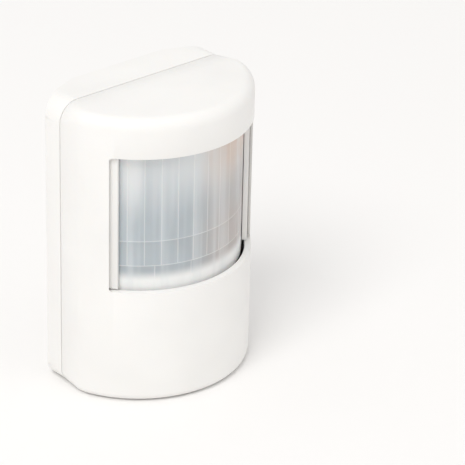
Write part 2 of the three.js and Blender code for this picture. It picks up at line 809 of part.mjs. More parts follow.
add("crystal", crystal(9, boardTop - 11.5), steel());
add("capacitor_upper", canCapacitor(21, windowMiddle + 8), blackPlastic());
add("capacitor_lower", canCapacitor(21, windowMiddle - 2), blackPlastic());
add("programming_header", onBoard(0, boardTop - 3.4, 10.2, 2.5, 2.5), blackPlastic());
add("battery_holder", batteryHolder(), blackPlastic());
add("battery_lower", cell(lowerCellZ, -1), finish(0x3c4046, 0.35, 0.6));
add("battery_upper", cell(upperCellZ, 1), finish(0x3c4046, 0.35, 0.6));
add("battery_spring_lower", cellSpring(lowerCellZ, 1), steel());
add("battery_spring_upper", cellSpring(upperCellZ, -1), steel());
add("battery_contact_lower", cellContact(lowerCellZ, -1), steel());
add("battery_contact_upper", cellContact(upperCellZ, 1), steel());
add("lock_screw", lockScrew(), steel());

export default group;
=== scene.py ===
"""Finished model of a battery motion sensor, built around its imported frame.

Lengths are millimetres unless a name says otherwise, and "depth" is measured forwards from the
flat back of the housing, as a maker's drawing would have it. Meshes are written in metres.
"""
import logging
import math
from dataclasses import dataclass
from enum import Enum
from typing import Callable, Iterable, Sequence

import bpy
from mathutils import Matrix, Vector


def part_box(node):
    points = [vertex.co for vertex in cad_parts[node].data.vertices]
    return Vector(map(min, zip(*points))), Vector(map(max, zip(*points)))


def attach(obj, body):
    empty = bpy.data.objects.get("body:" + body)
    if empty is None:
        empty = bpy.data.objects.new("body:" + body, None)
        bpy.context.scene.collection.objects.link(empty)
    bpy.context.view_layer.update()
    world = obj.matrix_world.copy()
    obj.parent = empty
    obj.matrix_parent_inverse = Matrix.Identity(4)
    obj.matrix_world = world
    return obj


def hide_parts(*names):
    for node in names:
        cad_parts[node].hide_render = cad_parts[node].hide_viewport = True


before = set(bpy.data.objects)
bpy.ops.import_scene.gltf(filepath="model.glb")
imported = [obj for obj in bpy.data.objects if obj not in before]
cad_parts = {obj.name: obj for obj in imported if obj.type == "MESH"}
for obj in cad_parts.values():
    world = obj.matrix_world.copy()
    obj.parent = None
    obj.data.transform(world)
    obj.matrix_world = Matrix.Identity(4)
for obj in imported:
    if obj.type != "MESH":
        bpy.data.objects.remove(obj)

logging.basicConfig(level=logging.INFO, format="%(message)s")
LOG = logging.getLogger("motion_sensor")

MM = 0.001
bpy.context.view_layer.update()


class Pick(Enum):
    """What an edit-mode selection is made of."""

    POINTS = 0
    EDGES = 1
    FACES = 2


class Way(Enum):
    """The direction in which a round bar points."""

    UP = "up"
    FORWARD = "forward"
    ACROSS = "across"


def node_box(node: str) -> tuple[Vector, Vector]:
    """Gives a frame node's lowest and highest corners in millimetres."""
    low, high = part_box(node)
    return low / MM, high / MM


BACK = node_box("rear_cover")[1].y
FRONT_LOW, FRONT_HIGH = node_box("front_cover")


def at(x: float, depth: float, z: float) -> Vector:
    """Turns a place given by x, depth and height into a point in metres."""
    return Vector((x, BACK - depth, z)) * MM


def near(a: float, b: float, slack: float = 0.05) -> bool:
    """Tells whether two lengths are the same but for rounding."""
    return abs(a - b) < slack


@dataclass(frozen=True)
class Envelope:
    """The housing's driving sizes, most of them read from the frame."""

    height: float = FRONT_HIGH.z
    half_width: float = FRONT_HIGH.x
    body_depth: float = BACK - FRONT_LOW.y
    side_depth: float = 25.0
    parting: float = 14.4
    seam: float = 0.4
    wall: float = 2.2
    rear_flat_half: float = 19.8
    bevel_depth: float = 6.8
    top_corner: float = 7.5
    bottom_corner: float = 5.2
    top_edge: float = 4.2
    bottom_edge: float = 3.0
    window_half: float = 32.0
    window_bottom: float = 41.8
    window_top: float = 91.2

    @property
    def front_radius(self) -> float:
        """Radius of the round front."""
        bulge = self.body_depth - self.side_depth
        return (self.half_width**2 + bulge**2) / (2 * bulge)

    @property
    def arc_depth(self) -> float:
        """Depth of the axis of the round front."""
        return self.body_depth - self.front_radius

    @property
    def rear_front(self) -> float:
        """Depth of the rear cover's front edge."""
        return self.parting - self.seam / 2

    @property
    def cover_rear(self) -> float:
        """Depth of the front cover's rear edge."""
        return self.parting + self.seam / 2


CASE = Envelope()


# ---------------------------------------------------------------------------------------------
# Bench tools
# ---------------------------------------------------------------------------------------------


def clear_selection() -> None:
    """Leaves edit mode and deselects everything."""
    if bpy.context.object and bpy.context.object.mode != "OBJECT":
        bpy.ops.object.mode_set(mode="OBJECT")
    bpy.ops.object.select_all(action="DESELECT")


class Workpiece:
    """A mesh object that is being shaped with edit-mode tools and modifiers."""

    def __init__(self, name: str) -> None:
        """Takes the object that was just added, and applies its place to its mesh.

        Args:
            name: The piece's name.
        """
        self.obj = bpy.context.object
        self.obj.name = name
        self.obj.data.name = name
        bpy.ops.object.transform_apply(location=True, rotation=True, scale=True)

    @classmethod
    def block(
        cls, name: str, x: Sequence[float], depth: Sequence[float], z: Sequence[float]
    ) -> "Workpiece":
        """Adds a block.

        Args:
            name: The piece's name.
            x: Its left and right side.
            depth: Its rear and front depth.
            z: Its lowest and highest height.

        Returns:
            The new workpiece.
        """
        clear_selection()
        middle = at(sum(x) / 2, sum(depth) / 2, sum(z) / 2)
        size = ((x[1] - x[0]) * MM, (depth[1] - depth[0]) * MM, (z[1] - z[0]) * MM)
        bpy.ops.mesh.primitive_cube_add(size=1, location=middle, scale=size)
        return cls(name)

    @classmethod
    def bar(
        cls,
        name: str,
        way: Way,
        centre: Sequence[float],
        start: float,
        end: float,
        radius: float,
        sides: int = 32,
        tip: float | None = None,
    ) -> "Workpiece":
        """Adds a round bar or a cone.

        Args:
            name: The piece's name.
            way: The direction in which the bar points.
            centre: Its axis: (x, depth) if it points up, (x, z) forward, (depth, z) across.
            start: Where it starts along its axis.
            end: Where it ends.
            radius: Its radius, at the start if it is a cone.
            sides: How many sides stand for the round.
            tip: The cone's radius at its end.

        Returns:
            The new workpiece.
        """
        clear_selection()
        middle = (start + end) / 2
        turn, place = {
            Way.UP: ((0, 0, 0), at(centre[0], centre[1], middle)),
            Way.FORWARD: ((math.pi / 2, 0, 0), at(centre[0], middle, centre[1])),
            Way.ACROSS: ((0, math.pi / 2, 0), at(middle, centre[0], centre[1])),
        }[way]
        bpy.ops.mesh.primitive_cone_add(
            vertices=sides,
            radius1=radius * MM,
            radius2=(radius if tip is None else tip) * MM,
            depth=abs(end - start) * MM,
            location=place,
            rotation=turn,
        )
        return cls(name)

    @classmethod
    def ball(cls, name: str, place: Vector, radius: float) -> "Workpiece":
        """Adds a ball.

        Args:
            name: The piece's name.
            place: Its middle, in metres.
            radius: Its radius.

        Returns:
            The new workpiece.
        """
        clear_selection()
        bpy.ops.mesh.primitive_uv_sphere_add(
            segments=32, ring_count=16, radius=radius * MM, location=place
        )
        return cls(name)

    @classmethod
    def swept(
        cls,
        name: str,
        radii: Sequence[float],
        angles: Sequence[float],
        z: Sequence[float],
        step: float = 2.0,
    ) -> "Workpiece":
        """Sweeps a flat section about the axis of the round front.

        Args:
            name: The piece's name.
            radii: Its inner and outer radius.
            angles: Where it starts and ends, in degrees from straight ahead, towards +X.
            z: Its lowest and highest height.
            step: Degrees for each step of the sweep.

        Returns:
            The closed curved plate.
        """
        clear_selection()
        start = math.radians(angles[0]) - math.pi / 2
        reach = sum(radii) / 2
        axis = at(0, CASE.arc_depth, 0)
        middle = axis + Vector((math.cos(start) * reach, math.sin(start) * reach, sum(z) / 2)) * MM
        bpy.ops.mesh.primitive_plane_add(
            size=1, location=middle, rotation=(math.pi / 2, 0, start)
        )
        bpy.context.object.scale = ((radii[1] - radii[0]) * MM, (z[1] - z[0]) * MM, 1)
        piece = cls(name)
        piece.pick_all()
        bpy.ops.mesh.spin(
            steps=max(1, round((angles[1] - angles[0]) / step)),
            angle=-math.radians(angles[1] - angles[0]),
            center=axis,
            axis=(0, 0, 1),
        )
        return piece.tidy()

    @classmethod
    def coil(
        cls,
        name: str,
        way: Way,
        start: Vector,
        radii: Sequence[float],
        wire: float,
        length: float,
        turns: float,
    ) -> "Workpiece":
        """Winds a wire.

        Args:
            name: The piece's name.
            way: The direction in which the coil's axis runs, up or across.
            start: Where its axis starts, in metres.
            radii: Its radius at its start and at its end.
            wire: The wire's radius.
            length: Length along the axis, negative to run the other way.
            turns: How many turns it has.

        Returns:
            The closed coil.
        """
        clear_selection()
        mean = sum(radii) / 2
        bpy.ops.mesh.primitive_circle_add(
            vertices=8,
            radius=wire * MM,
            location=(mean * MM, 0, -length * MM / 2),
            rotation=(math.pi / 2, 0, 0),
        )
        piece = cls(name)
        steps = round(20 * turns)
        piece.modify(
            "SCREW",
            angle=2 * math.pi * turns,
            screw_offset=length * MM,
            steps=steps,
            render_steps=steps,
            axis="Z",
        )
        piece.pick_all()
        bpy.ops.mesh.fill_holes(sides=0)
        piece.tidy()
        if radii[0] != radii[1]:
            lean = 2 * (radii[1] - radii[0]) / (radii[0] + radii[1])
            if length < 0:
                lean = -lean
            piece.modify("SIMPLE_DEFORM", deform_method="TAPER", factor=lean, deform_axis="Z")
        piece.activate()
        piece.obj.rotation_euler = (0, math.pi / 2, 0) if way is Way.ACROSS else (0, 0, 0)
        run = Vector((length, 0, 0)) if way is Way.ACROSS else Vector((0, 0, length))
        piece.obj.location = start + run * MM / 2
        bpy.ops.object.transform_apply(location=True, rotation=True, scale=True)
        return piece

    def activate(self) -> None:
        """Makes this the only selected object."""
        clear_selection()
        self.obj.select_set(True)
        bpy.context.view_layer.objects.active = self.obj

    def done(self) -> "Workpiece":
        """Goes back to object mode."""
        bpy.ops.object.mode_set(mode="OBJECT")
        return self

    def pick_all(self) -> "Workpiece":
        """Opens the mesh with everything selected.

        Returns:
            This workpiece, in edit mode.
        """
        self.activate()
        bpy.ops.object.mode_set(mode="EDIT")
        bpy.ops.mesh.select_all(action="SELECT")
        return self

    def pick(self, kind: Pick, test: Callable[[Vector, Vector], bool]) -> "Workpiece":
        """Opens the mesh with the elements that pass a test selected.

        Args:
            kind: Points, edges or faces.
            test: Called with the element's middle, as x, depth and z, and its direction: an
                edge's run or a face's normal, in the frame's axes.

        Returns:
            This workpiece, in edit mode.
        """
        self.activate()
        bpy.context.tool_settings.mesh_select_mode = [kind is k for k in Pick]
        bpy.ops.object.mode_set(mode="EDIT")
        bpy.ops.mesh.select_all(action="DESELECT")
        bpy.ops.object.mode_set(mode="OBJECT")
        mesh = self.obj.data

        def drawn(co: Vector) -> Vector:
            """Gives a point in metres as x, depth and z."""
            return Vector((co.x / MM, BACK - co.y / MM, co.z / MM))

        if kind is Pick.POINTS:
            for vertex in mesh.vertices:
                vertex.select = test(drawn(vertex.co), Vector())
        elif kind is Pick.EDGES:
            for edge in mesh.edges:
                a, b = (mesh.vertices[i].co for i in edge.vertices)
                edge.select = test(drawn((a + b) / 2), (b - a).normalized())
        else:
            for face in mesh.polygons:
                face.select = test(drawn(face.center), face.normal)
        bpy.ops.object.mode_set(mode="EDIT")
        return self

    def bevel(self, width: float, segments: int = 2, points: bool = False) -> "Workpiece":
        """Rounds the selected edges or points.

        Args:
            width: How far the rounding reaches from each edge or point.
            segments: How many strips it has.
            points: Whether points are rounded, and not edges.

        Returns:
            This workpiece, in object mode.
        """
        bpy.ops.mesh.bevel(
            offset=width * MM,
            segments=segments,
            affect="VERTICES" if points else "EDGES",
            clamp_overlap=True,
        )
        return self.done()

    def sink(self, border: float, depth: float) -> "Workpiece":
        """Insets the selected faces together and pushes them in (or out, if negative)."""
        bpy.ops.mesh.inset(thickness=border * MM, depth=-depth * MM)
        return self.done()

    def slice(self, place: Vector, normal: Sequence[float]) -> "Workpiece":
        """Cuts the mesh off at a plane and closes the cut.

        Args:
            place: A point of the plane, in metres.
            normal: The plane's normal, which points to what goes.

        Returns:
            This workpiece, in object mode.
        """
        self.pick_all()
        bpy.ops.mesh.bisect(
            plane_co=place,
            plane_no=Vector(normal).normalized(),
            use_fill=True,
            clear_outer=True,
            threshold=1e-6,
        )
        bpy.ops.mesh.select_all(action="SELECT")
        bpy.ops.mesh.delete_loose()
        return self.done()

    def score(self, place: Vector, normal: Sequence[float]) -> "Workpiece":
        """Cuts edges into the faces along a plane and keeps both sides.

        Args:
            place: A point of the plane, in metres.
            normal: The plane's normal, one long.

        Returns:
            This workpiece, in object mode.
        """
        self.pick_all()
        bpy.ops.mesh.bisect(plane_co=place, plane_no=normal, threshold=1e-6)
        return self.done()

    def tidy(self) -> "Workpiece":
        """Merges doubles and turns every face outwards.

        Returns:
            This workpiece, in object mode.
        """
        self.pick_all()
        bpy.ops.mesh.remove_doubles(threshold=1e-6)
        bpy.ops.mesh.normals_make_consistent(inside=False)
        return self.done()

    def weld(self, reach: float = 0.01) -> "Workpiece":
        """Merges close points and closes pinholes, but turns no face.

        Args:
            reach: Points closer than this are merged.

        Returns:
            This workpiece, in object mode.
        """
        self.pick_all()
        bpy.ops.mesh.remove_doubles(threshold=reach * MM)
        bpy.ops.mesh.select_all(action="SELECT")
        bpy.ops.mesh.delete_loose()
        bpy.ops.mesh.select_all(action="SELECT")
        bpy.ops.mesh.fill_holes(sides=5)
        return self.done()

    def modify(self, kind: str, **settings: object) -> "Workpiece":
        """Adds a modifier and applies it.

        Args:
            kind: The modifier's type.
            **settings: Its settings.

        Returns:
            This workpiece.
        """
        self.activate()
        modifier = self.obj.modifiers.new(kind.title(), kind)
        for key, value in settings.items():
            setattr(modifier, key, value)
        bpy.ops.object.modifier_apply(modifier=modifier.name)
        return self

    def _boolean(self, operation: str, tools: Iterable["Workpiece"]) -> "Workpiece":
        """Applies one boolean for each tool and removes the tools.

        Args:
            operation: The boolean's operation.
            tools: The workpieces that it is done with.

        Returns:
            This workpiece.
        """
        for tool in tools:
            self.modify("BOOLEAN", operation=operation, object=tool.obj, solver="EXACT")
            bpy.data.objects.remove(tool.obj)
        return self

    def cut(self, *tools: "Workpiece") -> "Workpiece":
        """Cuts the tools away."""
        return self._boolean("DIFFERENCE", tools)

    def unite(self, *tools: "Workpiece") -> "Workpiece":
        """Makes the tools part of this solid."""
        return self._boolean("UNION", tools)

    def attach(self, *others: "Workpiece") -> "Workpiece":
        """Adds separate solids to the same piece.

        Args:
            *others: The workpieces that become part of this one.

        Returns:
            This workpiece.
        """
        self.activate()
        for other in others:
            other.obj.select_set(True)
        bpy.ops.object.join()
        return self

    def ease(self, width: float, segments: int = 2, angle: float = 40) -> "Workpiece":
        """Breaks every sharp edge.

        Args:
            width: How far the rounding reaches from each edge.
            segments: How many strips it has.
            angle: Edges sharper than this many degrees are rounded.

        Returns:
            This workpiece.
        """
        return self.modify(
            "BEVEL",
            width=width * MM,
            segments=segments,
            limit_method="ANGLE",
            angle_limit=math.radians(angle),
        )

    def smooth(self, angle: float = 35) -> "Workpiece":
        """Shades the mesh smooth but for its sharp edges.

        Args:
            angle: Edges sharper than this many degrees stay hard.

        Returns:
            This workpiece.
        """
        self.activate()
        bpy.ops.object.shade_smooth_by_angle(angle=math.radians(angle))
        return self

    def finish(
        self, material: bpy.types.Material, body: str, slot: str, *nodes: str
    ) -> bpy.types.Object:
        """Dresses the piece and ties it to the frame.

        Args:
            material: What it is made of.
            body: The body it moves with.
            slot: Not used.
            *nodes: The frame nodes it stands for.

        Returns:
            The finished object.
        """
        self.obj.data.materials.clear()
        self.obj.data.materials.append(material)
        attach(self.obj, body)
        if nodes:
            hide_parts(*nodes)
        LOG.info("%s: %d faces, on %s", self.obj.name, len(self.obj.data.polygons), body)
        return self.obj


def rounded_block(
    name: str,
    half: float,
    depth: Sequence[float],
    z: Sequence[float],
    top: float,
    bottom: float,
) -> Workpiece:
    """Adds a block whose four corners, seen from the front, are round.

    Args:
        name: The piece's name.
        half: Half its width.
        depth: Its rear and front depth.
        z: Its lowest and highest height.
        top: Radius of its upper corners.
        bottom: Radius of its lower corners.

    Returns:
        The block.
    """
    piece = Workpiece.block(name, (-half, half), depth, z)
    middle = sum(z) / 2
    if top > 0:
        piece.pick(Pick.EDGES, lambda c, run: abs(run.y) > 0.9 and c.z > middle).bevel(top, 8)
    if bottom > 0:
        piece.pick(Pick.EDGES, lambda c, run: abs(run.y) > 0.9 and c.z < middle).bevel(bottom, 8)
    return piece


# ---------------------------------------------------------------------------------------------
# Finishes
# ---------------------------------------------------------------------------------------------

Colour = tuple[float, float, float]


class Paint:
    """A material's node tree, laid out node by node on Object coordinates."""

    def __init__(self, name: str) -> None:
        """Starts a material with a Principled shader.

        Args:
            name: The material's name.
        """
        self.material = bpy.data.materials.new(name)
        self.material.use_nodes = True
        self.tree = self.material.node_tree
        self.shader = self.tree.nodes["Principled BSDF"]
        self.place = self.tree.nodes.new("ShaderNodeTexCoord").outputs["Object"]

    def fix(self, **values: object) -> None:
        """Sets the shader's own sockets; an underscore stands for a space."""
        for key, value in values.items():
            self.shader.inputs[key.replace("_", " ")].default_value = value

    def node(self, kind: str, inputs: dict[object, object], **settings: object) -> bpy.types.Node:
        """Adds a node.

        Args:
            kind: The node's type, without the "ShaderNode" that they all start with.
            inputs: Values or sockets, by input name or number.
            **settings: The node's own properties.

        Returns:
            The node.
        """
        made = self.tree.nodes.new("ShaderNode" + kind)
        for key, value in settings.items():
            setattr(made, key, value)
        for key, value in inputs.items():
            if isinstance(value, bpy.types.NodeSocket):
                self.tree.links.new(value, made.inputs[key])
            else:
                made.inputs[key].default_value = value
        return made

    def stretched(self, scale: Sequence[float]) -> bpy.types.NodeSocket:
        """Gives the coordinates with each axis scaled."""
        return self.node("Mapping", {"Vector": self.place, "Scale": scale}).outputs[0]

    def noise(
        self, per_mm: float, detail: float = 3, vector: bpy.types.NodeSocket | None = None
    ) -> bpy.types.NodeSocket:
        """Gives noise with so many blotches to the millimetre."""
        inputs = {"Vector": vector or self.place, "Scale": per_mm / MM, "Detail": detail}
        return self.node("TexNoise", inputs).outputs[0]

    def math(self, operation: str, *values: object) -> bpy.types.NodeSocket:
        """Works out one sum."""
        inputs = dict(enumerate(values))
        return self.node("Math", inputs, operation=operation).outputs[0]

    def axes(self) -> tuple[bpy.types.NodeSocket, ...]:
        """Gives x, y and z in millimetres."""
        split = self.node("SeparateXYZ", {"Vector": self.place})
        return tuple(self.math("DIVIDE", split.outputs[i], MM) for i in range(3))

    def ramp(
        self, value: bpy.types.NodeSocket, *stops: tuple[float, Colour]
    ) -> bpy.types.NodeSocket:
        """Turns a value into a colour.

        Args:
            value: What drives the colour, from 0 to 1.
            *stops: Places between 0 and 1, each with its colour.

        Returns:
            The colour.
        """
        made = self.node("ValToRGB", {0: value})
        band = made.color_ramp.elements
        for _ in range(len(stops) - 2):
            band.new(0.5)
        for element, (position, colour) in zip(band, stops):
            element.position = position
            element.color = (*colour, 1)
        return made.outputs[0]

    def span(
        self, value: bpy.types.NodeSocket, start: float, end: float, low: float, high: float
    ) -> bpy.types.NodeSocket:
        """Maps a range of a value onto another, smoothly, and holds its ends."""
        inputs = {0: value, 1: start, 2: end, 3: low, 4: high}
        return self.node("MapRange", inputs, interpolation_type="SMOOTHSTEP").outputs[0]

    def mix(self, amount: bpy.types.NodeSocket, a: object, b: object) -> bpy.types.NodeSocket:
        """Mixes two colours.

        Args:
            amount: How much of the second colour there is.
            a: The first colour, or a socket that gives it.
            b: The second, likewise.

        Returns:
            The mixed colour.
        """
        first, second = ((*c, 1) if isinstance(c, tuple) else c for c in (a, b))
        inputs = {0: amount, 6: first, 7: second}
        return self.node("Mix", inputs, data_type="RGBA").outputs[2]

    def colour(self, value: bpy.types.NodeSocket) -> None:
        """Feeds the base colour."""
        self.tree.links.new(value, self.shader.inputs["Base Color"])

    def roughness(self, value: bpy.types.NodeSocket) -> None:
        """Feeds the roughness."""
        self.tree.links.new(value, self.shader.inputs["Roughness"])

    def bump(self, *layers: tuple[bpy.types.NodeSocket, float]) -> None:
        """Lays bumps on each other.

        Args:
            *layers: Heights from 0 to 1, each with its full size in millimetres.
        """
        normal = None
        for height, size in layers:
            inputs = {"Height": height, "Distance": size * MM, "Strength": 1.0}
            if normal:
                inputs["Normal"] = normal
            normal = self.node("Bump", inputs).outputs[0]
        self.tree.links.new(normal, self.shader.inputs["Normal"])


def shade(colour: Colour, factor: float) -> Colour:
    """Makes a colour darker or lighter."""
    return tuple(min(1.0, c * factor) for c in colour)


@dataclass(frozen=True)
class Moulded:
    """Moulded plastic: fine eroded grain, faint flow marks, duller where it was handled."""

    name: str
    tint: Colour
    dullness: float = 0.42
    grain: float = 0.006
    mottle: float = 0.03
    glow: float = 0.0

    def build(self) -> bpy.types.Material:
        """Makes the material.

        Returns:
            The finished material.
        """
        paint = Paint(self.name)
        flow = paint.noise(0.035, 2)
        low, high = shade(self.tint, 1 - self.mottle), shade(self.tint, 1 + self.mottle / 2)
        specks = paint.noise(1.1, 4)
        cloudy = paint.ramp(flow, (0.3, low), (0.7, high))
        paint.colour(paint.mix(paint.span(specks, 0.66, 0.8, 0.0, 0.25), cloudy, low))
        paint.roughness(
            paint.span(paint.noise(0.12, 5), 0.3, 0.7, self.dullness - 0.05, self.dullness + 0.07)
        )
        paint.bump((paint.noise(4.5, 2), self.grain), (paint.noise(0.04, 1), 0.03))
        paint.fix(Subsurface_Weight=self.glow, Subsurface_Scale=0.001, Specular_IOR_Level=0.4)
        paint.fix(Subsurface_Radius=(1.2, 1.0, 0.8))
        return paint.material


@dataclass(frozen=True)
class Metal:
    """Plated or drawn metal with fine draw marks and a little tarnish."""

    name: str
    tint: Colour
    dullness: float = 0.28
    draw: tuple[float, float, float] = (1.0, 1.0, 14.0)
    tarnish: float = 0.25

    def build(self) -> bpy.types.Material:
        """Makes the material.

        Returns:
            The finished material.
        """
        paint = Paint(self.name)
        marks = paint.noise(0.9, 4, paint.stretched(self.draw))
        stain = paint.span(paint.noise(0.3, 4), 0.5, 0.75, 0.0, self.tarnish)
        bright = paint.ramp(marks, (0.3, shade(self.tint, 0.88)), (0.7, self.tint))
        paint.colour(paint.mix(stain, bright, shade(self.tint, 0.55)))
        paint.roughness(paint.span(marks, 0.25, 0.75, self.dullness - 0.06, self.dullness + 0.12))
        paint.bump((marks, 0.004))
        paint.fix(Metallic=1.0)
        return paint.material


@dataclass(frozen=True)
class MilkyLens:
    """Milky infrared-clear sheet, whiter over the frame's band, with ribs between its fields;
    painted highlights on its upper part and painted shade low in its middle.
    """

    name: str = "milky_lens"
    sheet: Colour = (0.43, 0.475, 0.505)
    rib: Colour = (0.74, 0.76, 0.77)
    warm: Colour = (0.70, 0.55, 0.46)
    # colour of the painted shade low in the middle of the lens
    painted_shade: Colour = (0.50, 0.44, 0.41)
    white: Colour = (0.88, 0.88, 0.87)
    groove_pitch: float = 0.42

    def build(self) -> bpy.types.Material:
        """Makes the material.

        Returns:
            The finished material.
        """
        paint = Paint(self.name)
        x, y, z = paint.axes()
        ahead = paint.math("SUBTRACT", BACK - CASE.arc_depth, y)
        angle = paint.math("ARCTAN2", x, ahead)
        arc = paint.math("MULTIPLY", angle, CASE.front_radius - 3.5)
        cloud = paint.ramp(
            paint.noise(0.05, 3), (0.3, shade(self.sheet, 0.94)), (0.72, shade(self.sheet, 1.06))
        )
        band = paint.span(z, 44.5, 49.0, 1.0, 0.0)
        # painted highlight: a white upright streak left of the middle, in the upper part of the
        # lens
        painted_highlight = paint.span(paint.math("ABSOLUTE", paint.math("ADD", x, 24.5)), 0.5, 4.0, 0.55, 0.0)
        painted_highlight = paint.math("MULTIPLY", painted_highlight, paint.span(z, 62.0, 84.0, 0.0, 1.0))
        # painted highlight: the upper part of the lens is mixed towards the pale rib colour, less
        # so on the left
        head = paint.span(z, 66.0, 88.0, 0.0, 0.9)
        middle = paint.math("MULTIPLY", head, paint.span(x, -2.0, -26.0, 1.0, 0.55))
        body = paint.mix(middle, cloud, self.rib)
        side = paint.math("MULTIPLY", paint.span(x, -6.0, 10.0, 0.0, 1.0), head)
        body = paint.mix(side, body, self.warm)
        # painted shade: the lower middle of the lens is mixed towards a dark brownish tint
        near_side = paint.span(x, -10.0, 10.0, 0.0, 0.8)
        low = paint.math("MULTIPLY", near_side, paint.span(z, 58.0, 84.0, 1.0, 0.2))
        body = paint.mix(low, body, self.painted_shade)
        # mixes in the painted highlight streak
        body = paint.mix(painted_highlight, body, self.white)
        body = paint.mix(band, body, self.white)
        streak = paint.noise(0.25, 2, paint.stretched((1.0, 1.0, 0.04)))
        body = paint.mix(paint.span(streak, 0.42, 0.7, 0.0, 0.36), body, self.rib)
        ribs = None
        for pitch, shift, low, high in ((9.3, 0.0, 50.4, 95.0), (21.0, 10.5, 40.0, 50.4)):
            turn = paint.math("DIVIDE", angle, math.radians(pitch))
            turn = paint.math("ADD", turn, 20.0 - shift / pitch)
            off = paint.math("ABSOLUTE", paint.math("SUBTRACT", paint.math("FRACT", turn), 0.5))
            line = paint.span(off, 0.5 - 0.28 / (0.6115 * pitch), 0.5, 0.0, 1.0)
            above = paint.math("GREATER_THAN", z, low)
            below = paint.math("LESS_THAN", z, high)
            line = paint.math("MULTIPLY", line, paint.math("MULTIPLY", above, below))
            ribs = line if ribs is None else paint.math("MAXIMUM", ribs, line)
        for level in (50.4, 59.5):
            off = paint.math("ABSOLUTE", paint.math("SUBTRACT", z, level))
            ribs = paint.math("MAXIMUM", ribs, paint.span(off, 0.0, 0.3, 1.0, 0.0))
        paint.colour(paint.mix(paint.math("MULTIPLY", ribs, 0.42), body, self.white))
        wave = paint.math("SINE", paint.math("MULTIPLY", arc, 2 * math.pi / self.groove_pitch))
        paint.bump((wave, 0.012), (paint.noise(3.5, 2), 0.004))
        paint.roughness(paint.span(paint.noise(0.2, 3), 0.3, 0.7, 0.32, 0.42))
        paint.fix(Subsurface_Weight=0.1, Subsurface_Scale=0.001, Specular_IOR_Level=0.5)
        return paint.material


@dataclass(frozen=True)
class SolderMask:
    """Green lacquer over copper tracks on glass-fibre board."""

    name: str = "circuit_board"
    lacquer: Colour = (0.012, 0.13, 0.055)
    track: Colour = (0.03, 0.22, 0.085)
    pitch: float = 2.54

    def build(self) -> bpy.types.Material:
        """Makes the material.

        Returns:
            The finished material.
        """
        paint = Paint(self.name)
        flat = paint.node("Mapping", {"Vector": paint.place, "Rotation": (math.pi / 2, 0, 0)})
        lines = None
        for width, scale in ((1.9, 1.0), (4.7, 0.62)):
            sizes = {
                "Vector": flat.outputs[0],
                "Scale": scale / (self.pitch * MM),
                "Mortar Size": 0.07,
                "Mortar Smooth": 0.1,
                "Brick Width": width,
                "Row Height": 0.5,
            }
            brick = paint.node("TexBrick", sizes, offset=0.37, squash=1.7, squash_frequency=3)
            line = brick.outputs[1]
            lines = line if lines is None else paint.math("MAXIMUM", lines, line)
        cell = {"Vector": paint.place, "Scale": 0.22 / MM}
        dots = paint.node("TexVoronoi", cell, feature="F1").outputs[0]
        dots = paint.span(dots, 0.07, 0.11, 1.0, 0.0)
        lines = paint.math("MAXIMUM", lines, dots)
        weave = paint.noise(0.8, 3)
        ground = paint.ramp(weave, (0.3, shade(self.lacquer, 0.8)), (0.7, self.lacquer))
        paint.colour(paint.mix(lines, ground, self.track))
        paint.bump((lines, 0.03), (weave, 0.006))
        paint.roughness(paint.span(weave, 0.3, 0.7, 0.28, 0.42))
        paint.fix(Coat_Weight=0.3)
        return paint.material


@dataclass(frozen=True)
class Jacket:
    """Printed shrink sleeve in bands along X, with rub marks."""

    name: str
    main: Colour
    band: Colour
    start: float
    end: float

    def build(self) -> bpy.types.Material:
        """Makes the material.

        Returns:
            The finished material.
        """
        paint = Paint(self.name)
        x, _, _ = paint.axes()
        place = paint.span(x, self.start, self.end, 0.0, 1.0)
        inside = paint.node("ValToRGB", {0: place})
        inside.color_ramp.interpolation = "CONSTANT"
        inside.color_ramp.elements[0].color = (*self.main, 1)
        inside.color_ramp.elements[1].color = (*self.band, 1)
        inside.color_ramp.elements[1].position = 0.5
        rub = paint.span(paint.noise(0.5, 5), 0.58, 0.75, 0.0, 0.35)
        paint.colour(paint.mix(rub, inside.outputs[0], shade(self.main, 1.6)))
        paint.roughness(paint.span(paint.noise(0.15, 3), 0.3, 0.7, 0.22, 0.36))
        paint.bump((paint.noise(0.25, 3), 0.03))
        paint.fix(Coat_Weight=0.4)
        return paint.material


@dataclass(frozen=True)
class Foam:
    """Closed-cell foam."""

    name: str = "foam"
    tint: Colour = (0.05, 0.05, 0.055)

    def build(self) -> bpy.types.Material:
        """Makes the material.

        Returns:
            The finished material.
        """
        paint = Paint(self.name)
        cell = {"Vector": paint.place, "Scale": 2.6 / MM}
        cells = paint.node("TexVoronoi", cell).outputs[0]
        paint.colour(paint.ramp(cells, (0.1, shade(self.tint, 0.4)), (0.6, self.tint)))
        paint.bump((cells, 0.08))
        paint.fix(Roughness=0.95)
        return paint.material


@dataclass(frozen=True)
class Glass:
    """Small clear or dark parts: the light's dome and the sensor's filter."""

    name: str
    tint: Colour
    clearness: float = 0.0
    metallic: float = 0.0

    def build(self) -> bpy.types.Material:
        """Makes the material.

        Returns:
            The finished material.
        """
        paint = Paint(self.name)
        swirl = paint.noise(0.9, 4)
        paint.colour(paint.ramp(swirl, (0.3, shade(self.tint, 0.85)), (0.7, self.tint)))
        paint.roughness(paint.span(swirl, 0.3, 0.7, 0.06, 0.14))
        paint.bump((paint.noise(1.5, 2), 0.003))
        paint.fix(Transmission_Weight=self.clearness, Metallic=self.metallic, Coat_Weight=0.5)
        return paint.material


